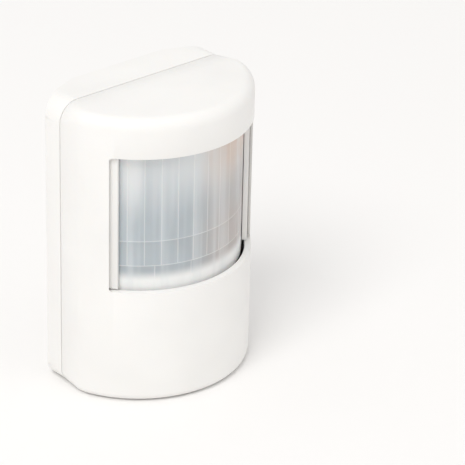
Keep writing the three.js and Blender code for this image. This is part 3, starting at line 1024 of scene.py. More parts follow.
class Shop:
    """Every finish, made once."""

    def __init__(self) -> None:
        """Makes the materials."""
        self.housing = Moulded("housing_white", (0.90, 0.89, 0.87), 0.44, glow=0.08).build()
        self.frame = Moulded("frame_white", (0.86, 0.85, 0.83), 0.48, glow=0.08).build()
        self.black = Moulded("black_plastic", (0.018, 0.018, 0.02), 0.4, 0.008, 0.2).build()
        self.blue = Moulded("switch_blue", (0.02, 0.09, 0.42), 0.38).build()
        self.white = Moulded("slider_white", (0.85, 0.85, 0.83), 0.4).build()
        self.cap = Moulded("button_cap", (0.03, 0.03, 0.034), 0.5, 0.01, 0.2).build()
        self.red = Moulded("plunger_red", (0.55, 0.03, 0.025), 0.4).build()
        self.holder = Moulded("holder_black", (0.03, 0.03, 0.032), 0.5, 0.01, 0.2).build()
        self.steel = Metal("steel", (0.72, 0.73, 0.75)).build()
        self.screw = Metal("zinc_plate", (0.66, 0.67, 0.69), 0.32, (3.0, 3.0, 3.0)).build()
        self.copper = Metal("copper_wire", (0.75, 0.30, 0.12), 0.25, (6.0, 6.0, 1.0)).build()
        self.sleeve = Moulded("capacitor_sleeve", (0.02, 0.05, 0.16), 0.3, 0.004, 0.15).build()
        self.lens = MilkyLens().build()
        self.mask = SolderMask().build()
        self.foam = Foam().build()
        self.filter = Glass("sensor_filter", (0.12, 0.09, 0.13), metallic=0.5).build()
        self.light = Glass("led", (0.85, 0.12, 0.08), 0.6).build()
        blue, grey = (0.02, 0.07, 0.20), (0.55, 0.57, 0.6)
        self.jacket_lower = Jacket("cell_jacket_lower", grey, blue, -25.0, -8.5).build()
        self.jacket_upper = Jacket("cell_jacket_upper", blue, grey, 8.5, 25.0).build()


# ---------------------------------------------------------------------------------------------
# Housing
# ---------------------------------------------------------------------------------------------


@dataclass(frozen=True)
class Ring:
    """One level of the front cover: the round front's height and inset, and the rear corners'."""

    front_z: float
    front_in: float
    corner_z: float
    corner_in: float


@dataclass
class Housing:
    """The two covers."""

    shop: Shop
    case: Envelope = CASE
    spare: float = 3.0
    crease: float = 2.2
    fillet_steps: int = 7
    lip_inset: float = 2.55
    lip_thickness: float = 1.2
    lip_height: float = 1.8
    lip_root: float = 3.2
    hooks: tuple[float, ...] = (-18.0, 18.0)
    hook_half: float = 4.0
    hook_thickness: float = 1.5
    hook_play: float = 0.35
    tab_half: float = 5.0
    tab_z: tuple[float, float] = (4.7, 6.3)
    clips: tuple[float, ...] = (-13.0, 13.0)
    screw_posts: tuple[float, ...] = (-22.0, 22.0)
    post_z: float = 86.4
    rest_x: float = 20.0
    lock_depth: float = 5.6
    lock_bore: float = 1.65
    keyholes: tuple[float, ...] = (80.0, 34.0)
    keyhole_drop: float = 5.5
    keyhole_head: float = 3.6
    keyhole_slot: float = 2.1
    spare_places: tuple[tuple[float, float], ...] = ((-12, 92), (12, 92), (-12, 16), (12, 16))
    clip_radius: float = 33.145
    clip_half: float = 2.0

    def rings(self) -> list[Ring]:
        """Works out the front cover's levels.

        Returns:
            The levels, from the underside to the top.
        """
        case = self.case
        run = self.spare / (case.side_depth - case.cover_rear)
        top = case.top_corner + (case.top_corner - case.top_edge) * run
        bottom = case.bottom_corner + (case.bottom_corner - case.bottom_edge) * run
        rows = []
        for k in range(self.fillet_steps, -1, -1):
            turn = math.pi / 2 * k / self.fillet_steps
            lift, draw = 1 - math.sin(turn), 1 - math.cos(turn)
            edge = case.bottom_edge
            rows.append(Ring(edge * lift, edge * draw, bottom * lift, bottom * draw))
        for k in range(self.fillet_steps + 1):
            turn = math.pi / 2 * k / self.fillet_steps
            lift, draw = 1 - math.sin(turn), 1 - math.cos(turn)
            edge, high = case.top_edge, case.height
            rows.append(Ring(high - edge * lift, edge * draw, high - top * lift, top * draw))
        return rows

    def _draw_in(self, piece: Workpiece, now: Ring, was: Ring, lifted: float) -> None:
        """Brings the newest level to its size.

        Args:
            piece: The cover being drawn up.
            now: The level it should be.
            was: The level it was extruded from.
            lifted: How far it was lifted.
        """
        case = self.case
        axis = at(0, case.arc_depth, 0)
        ratio = (case.front_radius - now.front_in) / (case.front_radius - was.front_in)
        level = was.front_z + lifted - 0.01
        piece.pick(Pick.POINTS, lambda c, _: c.z > level and c.y > case.cover_rear)
        bpy.ops.transform.resize(value=(ratio, ratio, 1), center_override=axis)
        piece.done()
        ratio = (case.half_width - now.corner_in) / (case.half_width - was.corner_in)
        corner = was.corner_z + lifted - 0.01
        piece.pick(Pick.POINTS, lambda c, _: c.z > corner and c.y < case.cover_rear)
        bpy.ops.transform.resize(value=(ratio, 1, 1), center_override=(0, 0, 0))
        rise = now.corner_z - was.corner_z - lifted
        bpy.ops.transform.translate(value=(0, 0, rise * MM))
        piece.done()

    def front_form(self) -> Workpiece:
        """Draws the front cover's outside up from its plan, and gives it its wall.

        Returns:
            The cover's shell, with its window cut.
        """
        case = self.case
        rear = case.cover_rear - self.spare
        clear_selection()
        bpy.ops.mesh.primitive_circle_add(
            vertices=160,
            radius=case.front_radius * MM,
            fill_type="NGON",
            location=at(0, case.arc_depth, 0),
        )
        piece = Workpiece("front_moulding")
        for side in (-1, 1):
            piece.slice(at(side * case.half_width, 0, 0), (side, 0, 0))
        piece.slice(at(0, rear, 0), (0, 1, 0))

        def beside_crease(c: Vector, _: Vector) -> bool:
            """Finds points of the outline too near the crease to be rounded with it."""
            off = math.hypot(abs(c.x) - case.half_width, c.y - case.side_depth)
            return 0.2 < off < self.crease + 0.4

        piece.pick(Pick.POINTS, beside_crease)
        bpy.ops.mesh.dissolve_verts()
        piece.done()
        piece.pick(
            Pick.POINTS,
            lambda c, _: near(abs(c.x), case.half_width) and near(c.y, case.side_depth),
        ).bevel(self.crease, 5, points=True)
        rows = self.rings()
        self._draw_in(piece, rows[0], Ring(0, 0, 0, 0), 0)
        for was, now in zip(rows, rows[1:]):
            lifted = now.front_z - was.front_z
            level = min(was.front_z, was.corner_z) - 0.01
            piece.pick(
                Pick.FACES,
                lambda c, n: abs(n.z) > 0.5
                and c.z > level
                and near(c.x, 0, 1)
                and c.y < case.body_depth - 6,
            )
            bpy.ops.mesh.extrude_region_move(
                TRANSFORM_OT_translate={"value": (0, 0, lifted * MM)}
            )
            piece.done()
            self._draw_in(piece, now, was, lifted)
        piece.tidy()
        piece.pick(Pick.FACES, lambda c, n: near(c.y, rear, 0.02))
        bpy.ops.mesh.delete(type="FACE")
        piece.done()
        piece.modify("SOLIDIFY", thickness=case.wall * MM, offset=-1, use_even_offset=True)
        piece.slice(at(0, case.cover_rear, 0), (0, 1, 0))
        tall = (case.window_bottom, case.window_top)
        span = (case.side_depth, case.body_depth + 1)
        return piece.cut(rounded_block("window", case.window_half, span, tall, 1.0, 1.0))

    def _rim(self, x: float, z: float) -> float:
        """Tells how far inside the outline seen from the front a place lies.

        Args:
            x: The place's x.
            z: The place's height.

        Returns:
            The distance to the outline, negative outside it.
        """
        case = self.case
        radius = case.top_corner if z > case.height / 2 else case.bottom_corner
        out_x = abs(x) - (case.half_width - radius)
        out_z = abs(z - case.height / 2) - (case.height / 2 - radius)
        if out_x > 0 and out_z > 0:
            return radius - math.hypot(out_x, out_z)
        return radius - max(out_x, out_z)

    def _ring_block(self, inset: Sequence[float], depth: Sequence[float]) -> Workpiece:
        """Adds a ring that follows the outline.

        Args:
            inset: How far inside the outline its outer and inner side lie.
            depth: Its rear and front depth.

        Returns:
            The ring.
        """
        case = self.case
        parts = []
        for i, gap in enumerate(inset):
            run = depth if i == 0 else (depth[0] - 1, depth[1] + 1)
            parts.append(
                rounded_block(
                    "ring",
                    case.half_width - gap,
                    run,
                    (gap, case.height - gap),
                    case.top_corner - gap,
                    case.bottom_corner - gap,
                )
            )
        return parts[0].cut(parts[1])

    def _clip(self, x: float, up: int) -> list[Workpiece]:
        """Builds a clip that holds an edge of the lens frame.

        Args:
            x: The clip's middle.
            up: 1 for the frame's upper edge, -1 for its lower edge.

        Returns:
            The clip's arm and nose.
        """
        case = self.case
        reach = abs(x) + self.clip_half
        near_edge = case.arc_depth + math.sqrt(self.clip_radius**2 - reach**2) - 1.6
        far = case.arc_depth + math.sqrt((case.front_radius - case.wall / 2) ** 2 - reach**2)
        edge = case.window_top + 3.3 if up > 0 else case.window_bottom - 3.3
        arm = sorted((edge + up * 0.35, edge + up * 1.85))
        nose = (min(arm[0], edge - up), max(arm[1], edge - up))
        span = (x - self.clip_half, x + self.clip_half)
        bar = Workpiece.block("clip", span, (near_edge, far), arm)
        wide = (span[0] - 0.1, span[1] + 0.1)
        tip = Workpiece.block("clip", wide, (near_edge - 0.05, near_edge + 1.2), nose)
        return [bar, tip]

    def front(self) -> bpy.types.Object:
        """Makes the front cover.

        Returns:
            The finished cover.
        """
        case = self.case
        piece = self.front_form()

        def radial(c: Vector) -> float:
            """Gives a point's distance from the axis of the round front."""
            return math.hypot(c.x, c.y - case.arc_depth)

        def sill(c: Vector, run: Vector) -> bool:
            """Finds the outer edge of the window's sill."""
            outer = radial(c) > case.front_radius - 0.1 and c.y > case.side_depth
            return outer and abs(run.z) < 0.1 and near(c.z, case.window_bottom, 0.02)

        piece.pick(Pick.EDGES, sill).bevel(1.5, 3)

        def window_edge(c: Vector, run: Vector) -> bool:
            """Finds the window's other outer edges.

            Args:
                c: The edge's middle.
                run: Its direction.

            Returns:
                Whether it is one of them.
            """
            outer = radial(c) > case.front_radius - 0.1 and c.y > case.side_depth
            beside = near(abs(c.x), case.window_half, 0.02) and abs(run.z) > 0.9
            return outer and (beside or (near(c.z, case.window_top, 0.02) and abs(run.z) < 0.1))

        piece.pick(Pick.EDGES, window_edge).bevel(0.3, 2)

        def parting_edge(c: Vector, _: Vector) -> bool:
            """Finds the cover's outer rear edge."""
            return near(c.y, case.cover_rear, 0.01) and self._rim(c.x, c.z) < 0.6

        piece.pick(Pick.EDGES, parting_edge).bevel(0.25, 2)
        inner_top = case.height - case.wall
        rear, front = case.rear_front, case.cover_rear
        parts = []
        for x in self.hooks:
            high = inner_top - self.hook_play
            low = high - self.hook_thickness
            span = (x - self.hook_half, x + self.hook_half)
            tongue = Workpiece.block("hook", span, (rear - 2, front + 3), (low, high))
            tongue.pick(Pick.EDGES, lambda c, run: abs(run.x) > 0.9 and c.y < rear).bevel(0.5, 3)
            root = Workpiece.block("hook", span, (front, front + 3), (low, inner_top + 0.5))
            parts += [tongue, root]
        wide, bore = (-self.tab_half, self.tab_half), self.lock_bore
        tab = Workpiece.block("tab", wide, (case.wall + self.hook_play, front + 4), self.tab_z)
        tab.pick(Pick.EDGES, lambda c, run: abs(run.z) > 0.9 and c.y < 5).bevel(0.8, 3)
        tall = (self.tab_z[0] - 1, self.tab_z[1] + 1)
        notch = Workpiece.block("notch", (-bore, bore), (0, self.lock_depth), tall)
        end = Workpiece.bar("notch", Way.UP, (0, self.lock_depth), *tall, bore)
        tab.cut(notch, end)
        root = Workpiece.block("tab", wide, (front + 2.4, front + 4), (1.7, self.tab_z[1]))
        parts += [tab, root]
        span = (19.2, 20.8)
        parts.append(Workpiece.block("rib", span, (front + 0.5, front + 3.5), (93.9, 103.3)))
        parts.append(Workpiece.block("rib", span, (15.1, front + 3.5), (93.9, 97.1)))
        for x in self.clips:
            parts += self._clip(x, 1) + self._clip(x, -1)
        piece.unite(*parts).weld()
        piece.smooth(32)
        return piece.finish(self.shop.housing, "cover", "housing", "front_cover")

    def rear(self) -> bpy.types.Object:
        """Makes the rear cover.

        Returns:
            The finished cover.
        """
        case = self.case
        half, flat, deep = case.half_width, case.rear_flat_half, case.bevel_depth
        open_at = case.rear_front
        piece = Workpiece.block("rear_moulding", (-half, half), (0, open_at), (0, case.height))
        for side in (-1, 1):
            piece.slice(at(side * flat, 0, 0), (side * deep, half - flat, 0))
        slab = rounded_block(
            "slab", half, (-1, open_at + 1), (0, case.height), case.top_corner, case.bottom_corner
        )
        piece.modify("BOOLEAN", operation="INTERSECT", object=slab.obj, solver="EXACT")
        bpy.data.objects.remove(slab.obj)
        piece.tidy()
        piece.pick(Pick.FACES, lambda c, n: near(c.y, open_at) and n.y < -0.9)
        bpy.ops.mesh.delete(type="FACE")
        piece.done()
        piece.modify("SOLIDIFY", thickness=case.wall * MM, offset=-1, use_even_offset=True)

        def outer_edge(c: Vector, run: Vector) -> bool:
            """Finds the outer front edge and the upright edges of the bevels.

            Args:
                c: The edge's middle.
                run: Its direction.

            Returns:
                Whether it is one of them.
            """
            rim = near(c.y, case.rear_front, 0.01) and self._rim(c.x, c.z) < 0.6
            ridge = abs(run.z) > 0.9 and (near(c.y, 0, 0.02) or near(abs(c.x), half, 0.02))
            return rim or (ridge and c.y < deep + 0.1)

        piece.pick(Pick.EDGES, outer_edge).bevel(0.3, 2)
        lip, rear = self.lip_inset, case.rear_front
        root = self._ring_block(
            (case.wall - 0.6, lip + self.lip_thickness + 0.05), (rear - self.lip_root, rear - 0.1)
        )
        ring = self._ring_block(
            (lip, lip + self.lip_thickness), (rear - self.lip_root + 0.4, rear + self.lip_height)
        )
        ring.pick(
            Pick.EDGES, lambda c, run: near(c.y, rear + self.lip_height) and abs(run.y) < 0.1
        ).bevel(0.25, 2)
        pad = Workpiece.block("pad", (-6, 6), (case.wall - 0.5, 8.9), (1.7, 3.8))
        boss = Workpiece.block("boss", (-3.6, 3.6), (case.wall - 0.5, 8.3), (6.65, 11.15))
        boss.pick(Pick.EDGES, lambda c, run: c.y > 8 and abs(run.z) > 0.9).bevel(0.8, 3)
        rests, bores = [], []
        for side in (-1, 1):
            span = (side * self.rest_x - 2, side * self.rest_x + 2)
            rests.append(Workpiece.block("rest", span, (1.7, 6.65), (11.5, 16.5)))
            slim = (side * self.rest_x - 1.9, side * self.rest_x + 1.9)
            rests.append(Workpiece.block("rest", slim, (1.8, 8.4), (11.6, 14.15)))
        for x in self.screw_posts:
            place = (x, self.post_z)
            post = Workpiece.bar("post", Way.FORWARD, place, 2.2, 6.65, 2.7)
            rests.append(post)
            bores.append(Workpiece.bar("bore", Way.FORWARD, place, 3.8, 8, 1.4))
            turn = -1 if x > 0 else 1
            rib = (x + turn * 2.2, x + turn * 5.5)
            web = Workpiece.block("web", sorted(rib), (2.0, 5), (86, 86.8))
            web.slice(at(x + turn * 5.5, 2.2, 0), (turn * 3, -3, 0))
            rests.append(web)
        for x in self.hooks:
            top = case.height - case.wall
            slot = (rear - self.lip_root - 0.1, case.cover_rear + self.lip_height)
            wide = (x - self.hook_half - 0.5, x + self.hook_half + 0.5)
            bores.append(Workpiece.block("slot", wide, slot, (top - 2.55, top)))
        for z in self.keyholes:
            low, through, half_neck = z - self.keyhole_drop, (-1, 3.2), self.keyhole_slot
            head = Workpiece.bar(
                "keyhole", Way.FORWARD, (0, low), *through, self.keyhole_head, 40
            )
            neck = Workpiece.block("keyhole", (-half_neck, half_neck), through, (low, z))
            end = Workpiece.bar("keyhole", Way.FORWARD, (0, z), *through, half_neck, 40)
            bores += [head, neck, end]
        place = (0, self.lock_depth)
        bores.append(Workpiece.bar("head", Way.UP, place, -1, 2.2, 2.9, 40))
        bores.append(Workpiece.bar("shank", Way.UP, place, 0, 12.4, self.lock_bore))
        bores += self._knock_outs()
        piece.unite(root, ring, pad, boss, *rests).cut(*bores).weld()
        piece.smooth(32)
        return piece.finish(self.shop.housing, "base", "housing", "rear_cover")

    def _knock_outs(self) -> list[Workpiece]:
        """Builds the cutters for the thin rings round the spare fixing places on the back.

        Returns:
            The cutters.
        """
        rings = []
        for x, z in self.spare_places:
            ring = Workpiece.bar("ring", Way.FORWARD, (x, z), -1, 0.35, 2.8, 40)
            rings.append(ring.cut(Workpiece.bar("core", Way.FORWARD, (x, z), -2, 2, 2.4, 40)))
        return rings


@dataclass
class Optics:
    """The lens and the frame that carries it."""

    shop: Shop
    case: Envelope = CASE
    outer: float = 35.645
    inner: float = 35.045
    half_angle: float = 54.85
    z: tuple[float, float] = (40.2, 92.8)
    rows: tuple[float, ...] = (50.4, 59.5)
    rib: float = 0.16
    sunk: float = 0.07
    field_angle: float = 9.3
    low_borders: tuple[float, ...] = (-31.5, -10.5, 10.5, 31.5)
    frame_radii: tuple[float, float] = (33.495, 34.695)
    frame_angle: float = 60.9
    post_radii: tuple[float, float] = (35.995, 37.745)
    post_angles: tuple[float, float] = (50.92, 56.57)

    def borders(self) -> tuple[list[float], list[float]]:
        """Works out the angles between the lens's fields.

        Returns:
            The angles in the upper rows and those in the bottom row, in degrees.
        """
        upper = [self.field_angle * k for k in range(-5, 6)]
        end = self.half_angle
        return [-end, *upper, end], [-end, *self.low_borders, end]

    def lens(self) -> bpy.types.Object:
        """Makes the lens with its moulded fields.

        Returns:
            The finished lens.
        """
        case = self.case
        half = self.half_angle
        radii = (self.inner, self.outer)
        piece = Workpiece.swept("lens_moulding", radii, (-half, half), self.z, 1.6)
        upper, lower = self.borders()
        for angle in sorted({*upper[1:-1], *lower[1:-1]}):
            turn = math.radians(angle)
            piece.score(at(0, case.arc_depth, 0), (math.cos(turn), math.sin(turn), 0))
        for level in self.rows:
            piece.score(at(0, 0, level), (0, 0, 1))
        piece.tidy()
        levels = [self.z[0], *self.rows, self.z[1]]
        for i, (low, high) in enumerate(zip(levels, levels[1:])):
            sides = lower if i == 0 else upper
            for start, end in zip(sides, sides[1:]):
                self._field(piece, (start, end), (low, high))
        piece.smooth(30)
        return piece.finish(self.shop.lens, "cover", "lens", "lens")

    def _field(self, piece: Workpiece, angles: Sequence[float], z: Sequence[float]) -> None:
        """Sinks one field a little, which leaves a rib round it.

        Args:
            piece: The lens.
            angles: The field's sides, in degrees from straight ahead.
            z: Its lowest and highest height.
        """

        def inside(c: Vector, n: Vector) -> bool:
            """Finds the field's outer faces.

            Args:
                c: The face's middle.
                n: Its normal.

            Returns:
                Whether it is one of them.
            """
            angle = math.degrees(math.atan2(c.x, c.y - self.case.arc_depth))
            far = math.hypot(c.x, c.y - self.case.arc_depth) > self.outer - 0.1
            flat = abs(n.z) < 0.1 and angles[0] < angle < angles[1]
            return far and flat and z[0] < c.z < z[1]

        piece.pick(Pick.FACES, inside)
        piece.sink(self.rib, self.sunk)

    def frame(self) -> bpy.types.Object:
        """Makes the frame with its two posts.

        Returns:
            The finished frame.
        """
        case = self.case
        low, high = case.window_bottom - 3.3, case.window_top + 3.3
        inner, outer = self.frame_radii
        span = (-self.frame_angle, self.frame_angle)
        bands = [
            Workpiece.swept("frame", (inner, outer), span, (low, case.window_bottom + 4.2)),
            Workpiece.swept("frame", (inner, outer), span, (case.window_top - 0.8, high)),
        ]
        parts = []
        for side in (-1, 1):
            rail = sorted((side * 55.4, side * self.frame_angle))
            slim = (inner + 0.06, outer + 0.06)
            parts.append(Workpiece.swept("frame", slim, rail, (low + 0.1, high - 0.1), 1.4))
            edge = sorted((side * 58.6, side * 60.8))
            tall = (low + 0.2, high - 0.2)
            parts.append(Workpiece.swept("frame", (inner + 0.13, 36.595), edge, tall, 1.1))
            foot = sorted((side * 55.5, side * 56.5))
            for z in ((low + 0.3, low + 4.9), (high - 4.9, high - 0.3)):
                parts.append(Workpiece.swept("frame", (inner + 0.2, 36.5), foot, z, 1.0))
            post = sorted(side * angle for angle in self.post_angles)
            tall = (case.window_bottom + 0.5, case.window_top - 0.5)
            bar = Workpiece.swept("frame", self.post_radii, post, tall, 1.4)
            bar.pick(
                Pick.EDGES, lambda c, run: math.hypot(c.x, c.y - case.arc_depth) > 37.5
            ).bevel(0.3, 2)
            parts.append(bar)
        for band in bands:
            band.pick(
                Pick.EDGES,
                lambda c, run: math.hypot(c.x, c.y - case.arc_depth) > outer - 0.1
                and abs(run.z) < 0.1
                and (near(c.z, case.window_bottom + 4.2) or near(c.z, case.window_top - 0.8)),
            ).bevel(0.35, 2)
        radii, tall = (inner + 0.2, outer - 0.2), (low + 0.2, low + 3)
        piece = Workpiece.swept("frame_moulding", radii, span, tall)
        piece.unite(*bands, *parts)
        piece.smooth(32)
        return piece.finish(self.shop.frame, "cover", "lens_frame", "lens_frame")


# ---------------------------------------------------------------------------------------------
# Inside
# ---------------------------------------------------------------------------------------------


@dataclass
class PowerPack:
    """The two cells and their springs."""

    shop: Shop
    radius: float = 7.25
    depth: float = 17.75
    body: float = 24.75
    centre: float = 1.0
    recess: float = 0.5

    def cell(self, name: str, z: float, side: int, jacket: bpy.types.Material) -> None:
        """Makes one cell: its sleeve and its two metal ends.

        Args:
            name: The cell's name, which is its frame node's too.
            z: Height of its axis.
            side: 1 if its positive end points towards +X, else -1.
            jacket: The sleeve's finish.
        """
        place = (self.depth, z)
        middle = side * self.centre
        near_end, far_end = middle - self.body + 0.15, middle + self.body - 0.15
        sleeve = Workpiece.bar(
            name + "_sleeve", Way.ACROSS, place, near_end, far_end, self.radius, 64
        )
        sleeve.pick(Pick.FACES, lambda c, n: abs(n.x) > 0.9).sink(0.9, 0)
        sleeve.pick(
            Pick.FACES,
            lambda c, n: abs(n.x) > 0.9 and math.hypot(c.y - self.depth, c.z - z) < 1,
        )
        bpy.ops.mesh.inset(thickness=0.02 * MM, depth=-self.recess * MM, use_individual=True)
        sleeve.done().ease(0.35, 3)
        sleeve.smooth(35)
        sleeve.finish(jacket, "base", "battery_jacket", name)
        positive = middle + side * self.body
        span = sorted((positive - side * 0.6, positive - side * 0.05))
        cap = Workpiece.bar(name + "_cap", Way.ACROSS, place, *span, self.radius - 1.05, 48)
        span = sorted((positive - side * 0.3, positive + side * 1.0))
        cap.unite(Workpiece.bar("nipple", Way.ACROSS, place, *span, 2.75, 40)).ease(0.25, 2)
        cap.smooth(35)
        cap.finish(self.shop.steel, "base", "steel")
        negative = middle - side * self.body
        span = sorted((negative, negative + side * 0.6))
        base = Workpiece.bar(name + "_base", Way.ACROSS, place, *span, self.radius - 1.05, 48)
        base.pick(Pick.FACES, lambda c, n: n.x * side < -0.9).sink(1.2, 0.15)
        base.ease(0.2, 2).smooth(35)
        base.finish(self.shop.steel, "base", "steel")

    def spring(self, name: str, z: float, side: int) -> None:
        """Makes one spring, wound in a cone that is wide on the holder's wall.

        Args:
            name: The spring's frame node.
            z: Height of its axis.
            side: 1 if it stands on the wall towards +X, else -1.
        """
        low, high = node_box(name)
        wall = high.x - 0.4 if side > 0 else low.x + 0.4
        run = -side * (high.x - low.x - 0.8)
        cone = Workpiece.coil(
            name + "_wire", Way.ACROSS, at(wall, self.depth, z), (4.2, 2.6), 0.38, run, 4.5
        )
        cone.smooth(60)
        cone.finish(self.shop.steel, "base", "steel", name)

    def build(self) -> None:
        """Makes the cells and the springs."""
        self.cell("battery_lower", 17.4, -1, self.shop.jacket_lower)
        self.cell("battery_upper", 33.0, 1, self.shop.jacket_upper)
        self.spring("battery_spring_lower", 17.58, 1)
        self.spring("battery_spring_upper", 33.18, -1)


@dataclass
class Board:
    """What is soldered or screwed to the circuit board."""

    shop: Shop
    face: float = 8.6
    mount: float = 8.95
    screw_z: float = 86.4
    can_x: float = 21.0
    light_at: tuple[float, float] = (11.5, 58.5)
    chip_x: tuple[float, float] = (-10.5, -1.5)
    chip_z: tuple[float, float] = (82.9, 91.9)
    leg_pitch: float = 0.8
    legs_a_side: int = 8
    resistor_pitch: float = 2.8
    resistor_rows: tuple[tuple[float, float, int], ...] = (
        (-16, 80, 5),
        (-12, 74.5, 4),
        (3, 79.5, 4),
        (14, 56, 3),
    )

    def screw(self, name: str, x: float) -> None:
        """Makes one board screw with a cross recess.

        Args:
            name: The screw's frame node.
            x: Where its axis is.
        """
        place = (x, self.screw_z)
        head = Workpiece.bar(name + "_pan", Way.FORWARD, place, 8.95, 10.05, 2.3, 40)
        head.pick(Pick.EDGES, lambda c, run: c.y > 10 and abs(run.y) < 0.1).bevel(0.45, 4)
        arms = [
            Workpiece.block("arm", (x - 1.2, x + 1.2), (9.4, 11), (86.15, 86.65)),
            Workpiece.block("arm", (x - 0.25, x + 0.25), (9.4, 11), (85.2, 87.6)),
        ]
        head.cut(*arms).unite(Workpiece.bar("shank", Way.FORWARD, place, 4.45, 9.2, 1.1, 24))
        head.smooth(35)
        head.finish(self.shop.screw, "base", "steel", name)

    def capacitor(self, name: str, z: float) -> None:
        """Makes one can capacitor: its sleeve with a rolled groove, and its scored top.

        Args:
            name: The capacitor's frame node.
            z: Height of its axis.
        """
        place, top = (self.can_x, z), 15.35
        sleeve = Workpiece.bar(name + "_can", Way.FORWARD, place, self.mount, top - 0.05, 3.1, 48)
        groove = Workpiece.bar("groove", Way.FORWARD, place, 10.1, 10.6, 4, 48)
        groove.cut(Workpiece.bar("core", Way.FORWARD, place, 9, 12, 2.85, 48))
        sleeve.cut(groove)
        sleeve.pick(Pick.FACES, lambda c, n: n.y < -0.9 and c.y > 15).sink(0.45, 0.2)
        sleeve.ease(0.12, 2).smooth(35)
        sleeve.finish(self.shop.sleeve, "base", "capacitor_sleeve", name)
        lid = Workpiece.bar(name + "_lid", Way.FORWARD, place, 15.11, 15.25, 2.5, 40)
        lid.cut(
            Workpiece.block("score", (18.9, 23.1), (15.17, 16), (z - 0.12, z + 0.12)),
            Workpiece.block("score", (20.88, 21.12), (15.17, 16), (z - 2.1, z + 2.1)),
        )
        lid.smooth(35)
        lid.finish(self.shop.steel, "base", "steel")

    def light(self) -> None:
        """Makes the status light: a domed lens on its flange."""
        place = self.light_at
        lamp = Workpiece.bar("status_dome", Way.FORWARD, place, self.mount, 9.75, 1.82, 32)
        lamp.unite(
            Workpiece.bar("stem", Way.FORWARD, place, 9.5, 12.05, 1.5, 32),
            Workpiece.ball("dome", at(place[0], 12.04, place[1]), 1.49),
        )
        lamp.smooth(35)
        lamp.finish(self.shop.light, "base", "led", "status_led")

    def chip(self) -> None:
        """Makes the controller: its body, its corner mark and its legs."""
        x, z, step = self.chip_x, self.chip_z, self.leg_pitch * MM
        body = Workpiece.block(
            "chip_body", (x[0] + 0.9, x[1] - 0.9), (9.05, 10.15), (z[0] + 0.9, z[1] - 0.9)
        )
        body.cut(Workpiece.bar("mark", Way.FORWARD, (-8.6, 90.0), 10.0, 11, 0.4, 24))
        body.ease(0.12, 2).smooth(30)
        body.finish(self.shop.black, "base", "black_plastic", "controller_chip")
        legs = []
        for side in (0, 1):
            out = (x[0], x[0] + 1.0) if side == 0 else (x[1] - 1.0, x[1])
            leg = Workpiece.block("leg", out, (8.97, 9.5), (z[0] + 1.4, z[0] + 1.65))
            legs.append(self._row(leg, (0, 0, step), self.legs_a_side))
            out = (z[0], z[0] + 1.0) if side == 0 else (z[1] - 1.0, z[1])
            leg = Workpiece.block("leg", (x[0] + 1.4, x[0] + 1.65), (8.97, 9.5), out)
            legs.append(self._row(leg, (step, 0, 0), self.legs_a_side))
        comb = legs[0].attach(*legs[1:])
        comb.obj.name = "chip_legs"
        comb.ease(0.06, 1)
        comb.finish(self.shop.steel, "base", "steel")

    def _row(self, piece: Workpiece, step: Sequence[float], count: int) -> Workpiece:
        """Copies a piece in a row.

        Args:
            piece: What is copied.
            step: From one copy to the next, in metres.
            count: How many there are in all.

        Returns:
            The piece with its copies.
        """
        return piece.modify(
            "ARRAY",
            count=count,
            use_relative_offset=False,
            use_constant_offset=True,
            constant_offset_displace=step,
        )

    def small_parts(self) -> None:
        """Makes the rows of chip resistors on the board's face."""
        for i, (x, z, count) in enumerate(self.resistor_rows):
            top = self.face + 0.75
            body = Workpiece.block("r", (x - 0.5, x + 0.5), (8.65, top), (z - 0.6, z + 0.6))
            depth, tall = (8.62, top + 0.03), (z - 0.62, z + 0.62)
            ends = Workpiece.block("r", (x - 1.0, x - 0.45), depth, tall)
            other = Workpiece.block("r", (x + 0.45, x + 1.0), depth, tall)
            ends.attach(other)
            for part, name, finish, slot in (
                (body, "resistor_body", self.shop.black, "black_plastic"),
                (ends, "resistor_ends", self.shop.steel, "steel"),
            ):
                self._row(part, (self.resistor_pitch * MM, 0, 0), count)
                part.obj.name = f"{name}_{i + 1}"
                part.ease(0.08, 2)
                part.finish(finish, "base", slot)

    def coil(self) -> None:
        """Winds the antenna coil and brings its ends down to the board."""
        axis = at(-24.55, 12.0, 54.6)
        wire = Workpiece.coil("antenna_wire", Way.UP, axis, (2.6, 2.6), 0.45, 23.8, 6)
        ends = ((-21.95, z) for z in (54.65, 78.35))
        wire.attach(*[Workpiece.bar("leg", Way.FORWARD, end, 9.1, 12.1, 0.45, 8) for end in ends])
        wire.smooth(60)
        wire.finish(self.shop.copper, "base", "copper_wire", "antenna_coil")

    def build(self) -> None:
        """Makes the board's detailed parts."""
        self.screw("pcb_screw_left", -22)
        self.screw("pcb_screw_right", 22)
        self.capacitor("capacitor_upper", 74.5)
        self.capacitor("capacitor_lower", 64.5)
        self.light()
        self.chip()
        self.small_parts()
        self.coil()


@dataclass
class Closure:
    """The lock screw in the underside."""

    shop: Shop
    depth: float = 5.6

    def build(self) -> None:
        """Makes the lock screw: slotted head, plain shank and rolled thread."""
        place = (0, self.depth)
        piece = Workpiece.bar("lock_screw_head", Way.UP, place, 0.5, 1.9, 2.6, 48)
        piece.pick(Pick.EDGES, lambda c, run: c.z < 0.6 and abs(run.z) < 0.1).bevel(0.5, 4)
        slot = Workpiece.block("slot", (-3, 3), (self.depth - 0.4, self.depth + 0.4), (0, 1.2))
        piece.cut(slot)
        piece.unite(
            Workpiece.bar("shank", Way.UP, place, 1.7, 9.7, 1.1, 32),
            Workpiece.bar("point", Way.UP, place, 9.6, 10.5, 1.1, 32, tip=0.7),
        )
        thread = Workpiece.coil(
            "thread", Way.UP, at(0, self.depth, 2.6), (1.13, 1.13), 0.2, 6.9, 10
        )
        piece.attach(thread)
        piece.smooth(40)
        piece.finish(self.shop.screw, "lock_screw", "steel", "lock_screw")


# ---------------------------------------------------------------------------------------------
# Studio
# ---------------------------------------------------------------------------------------------


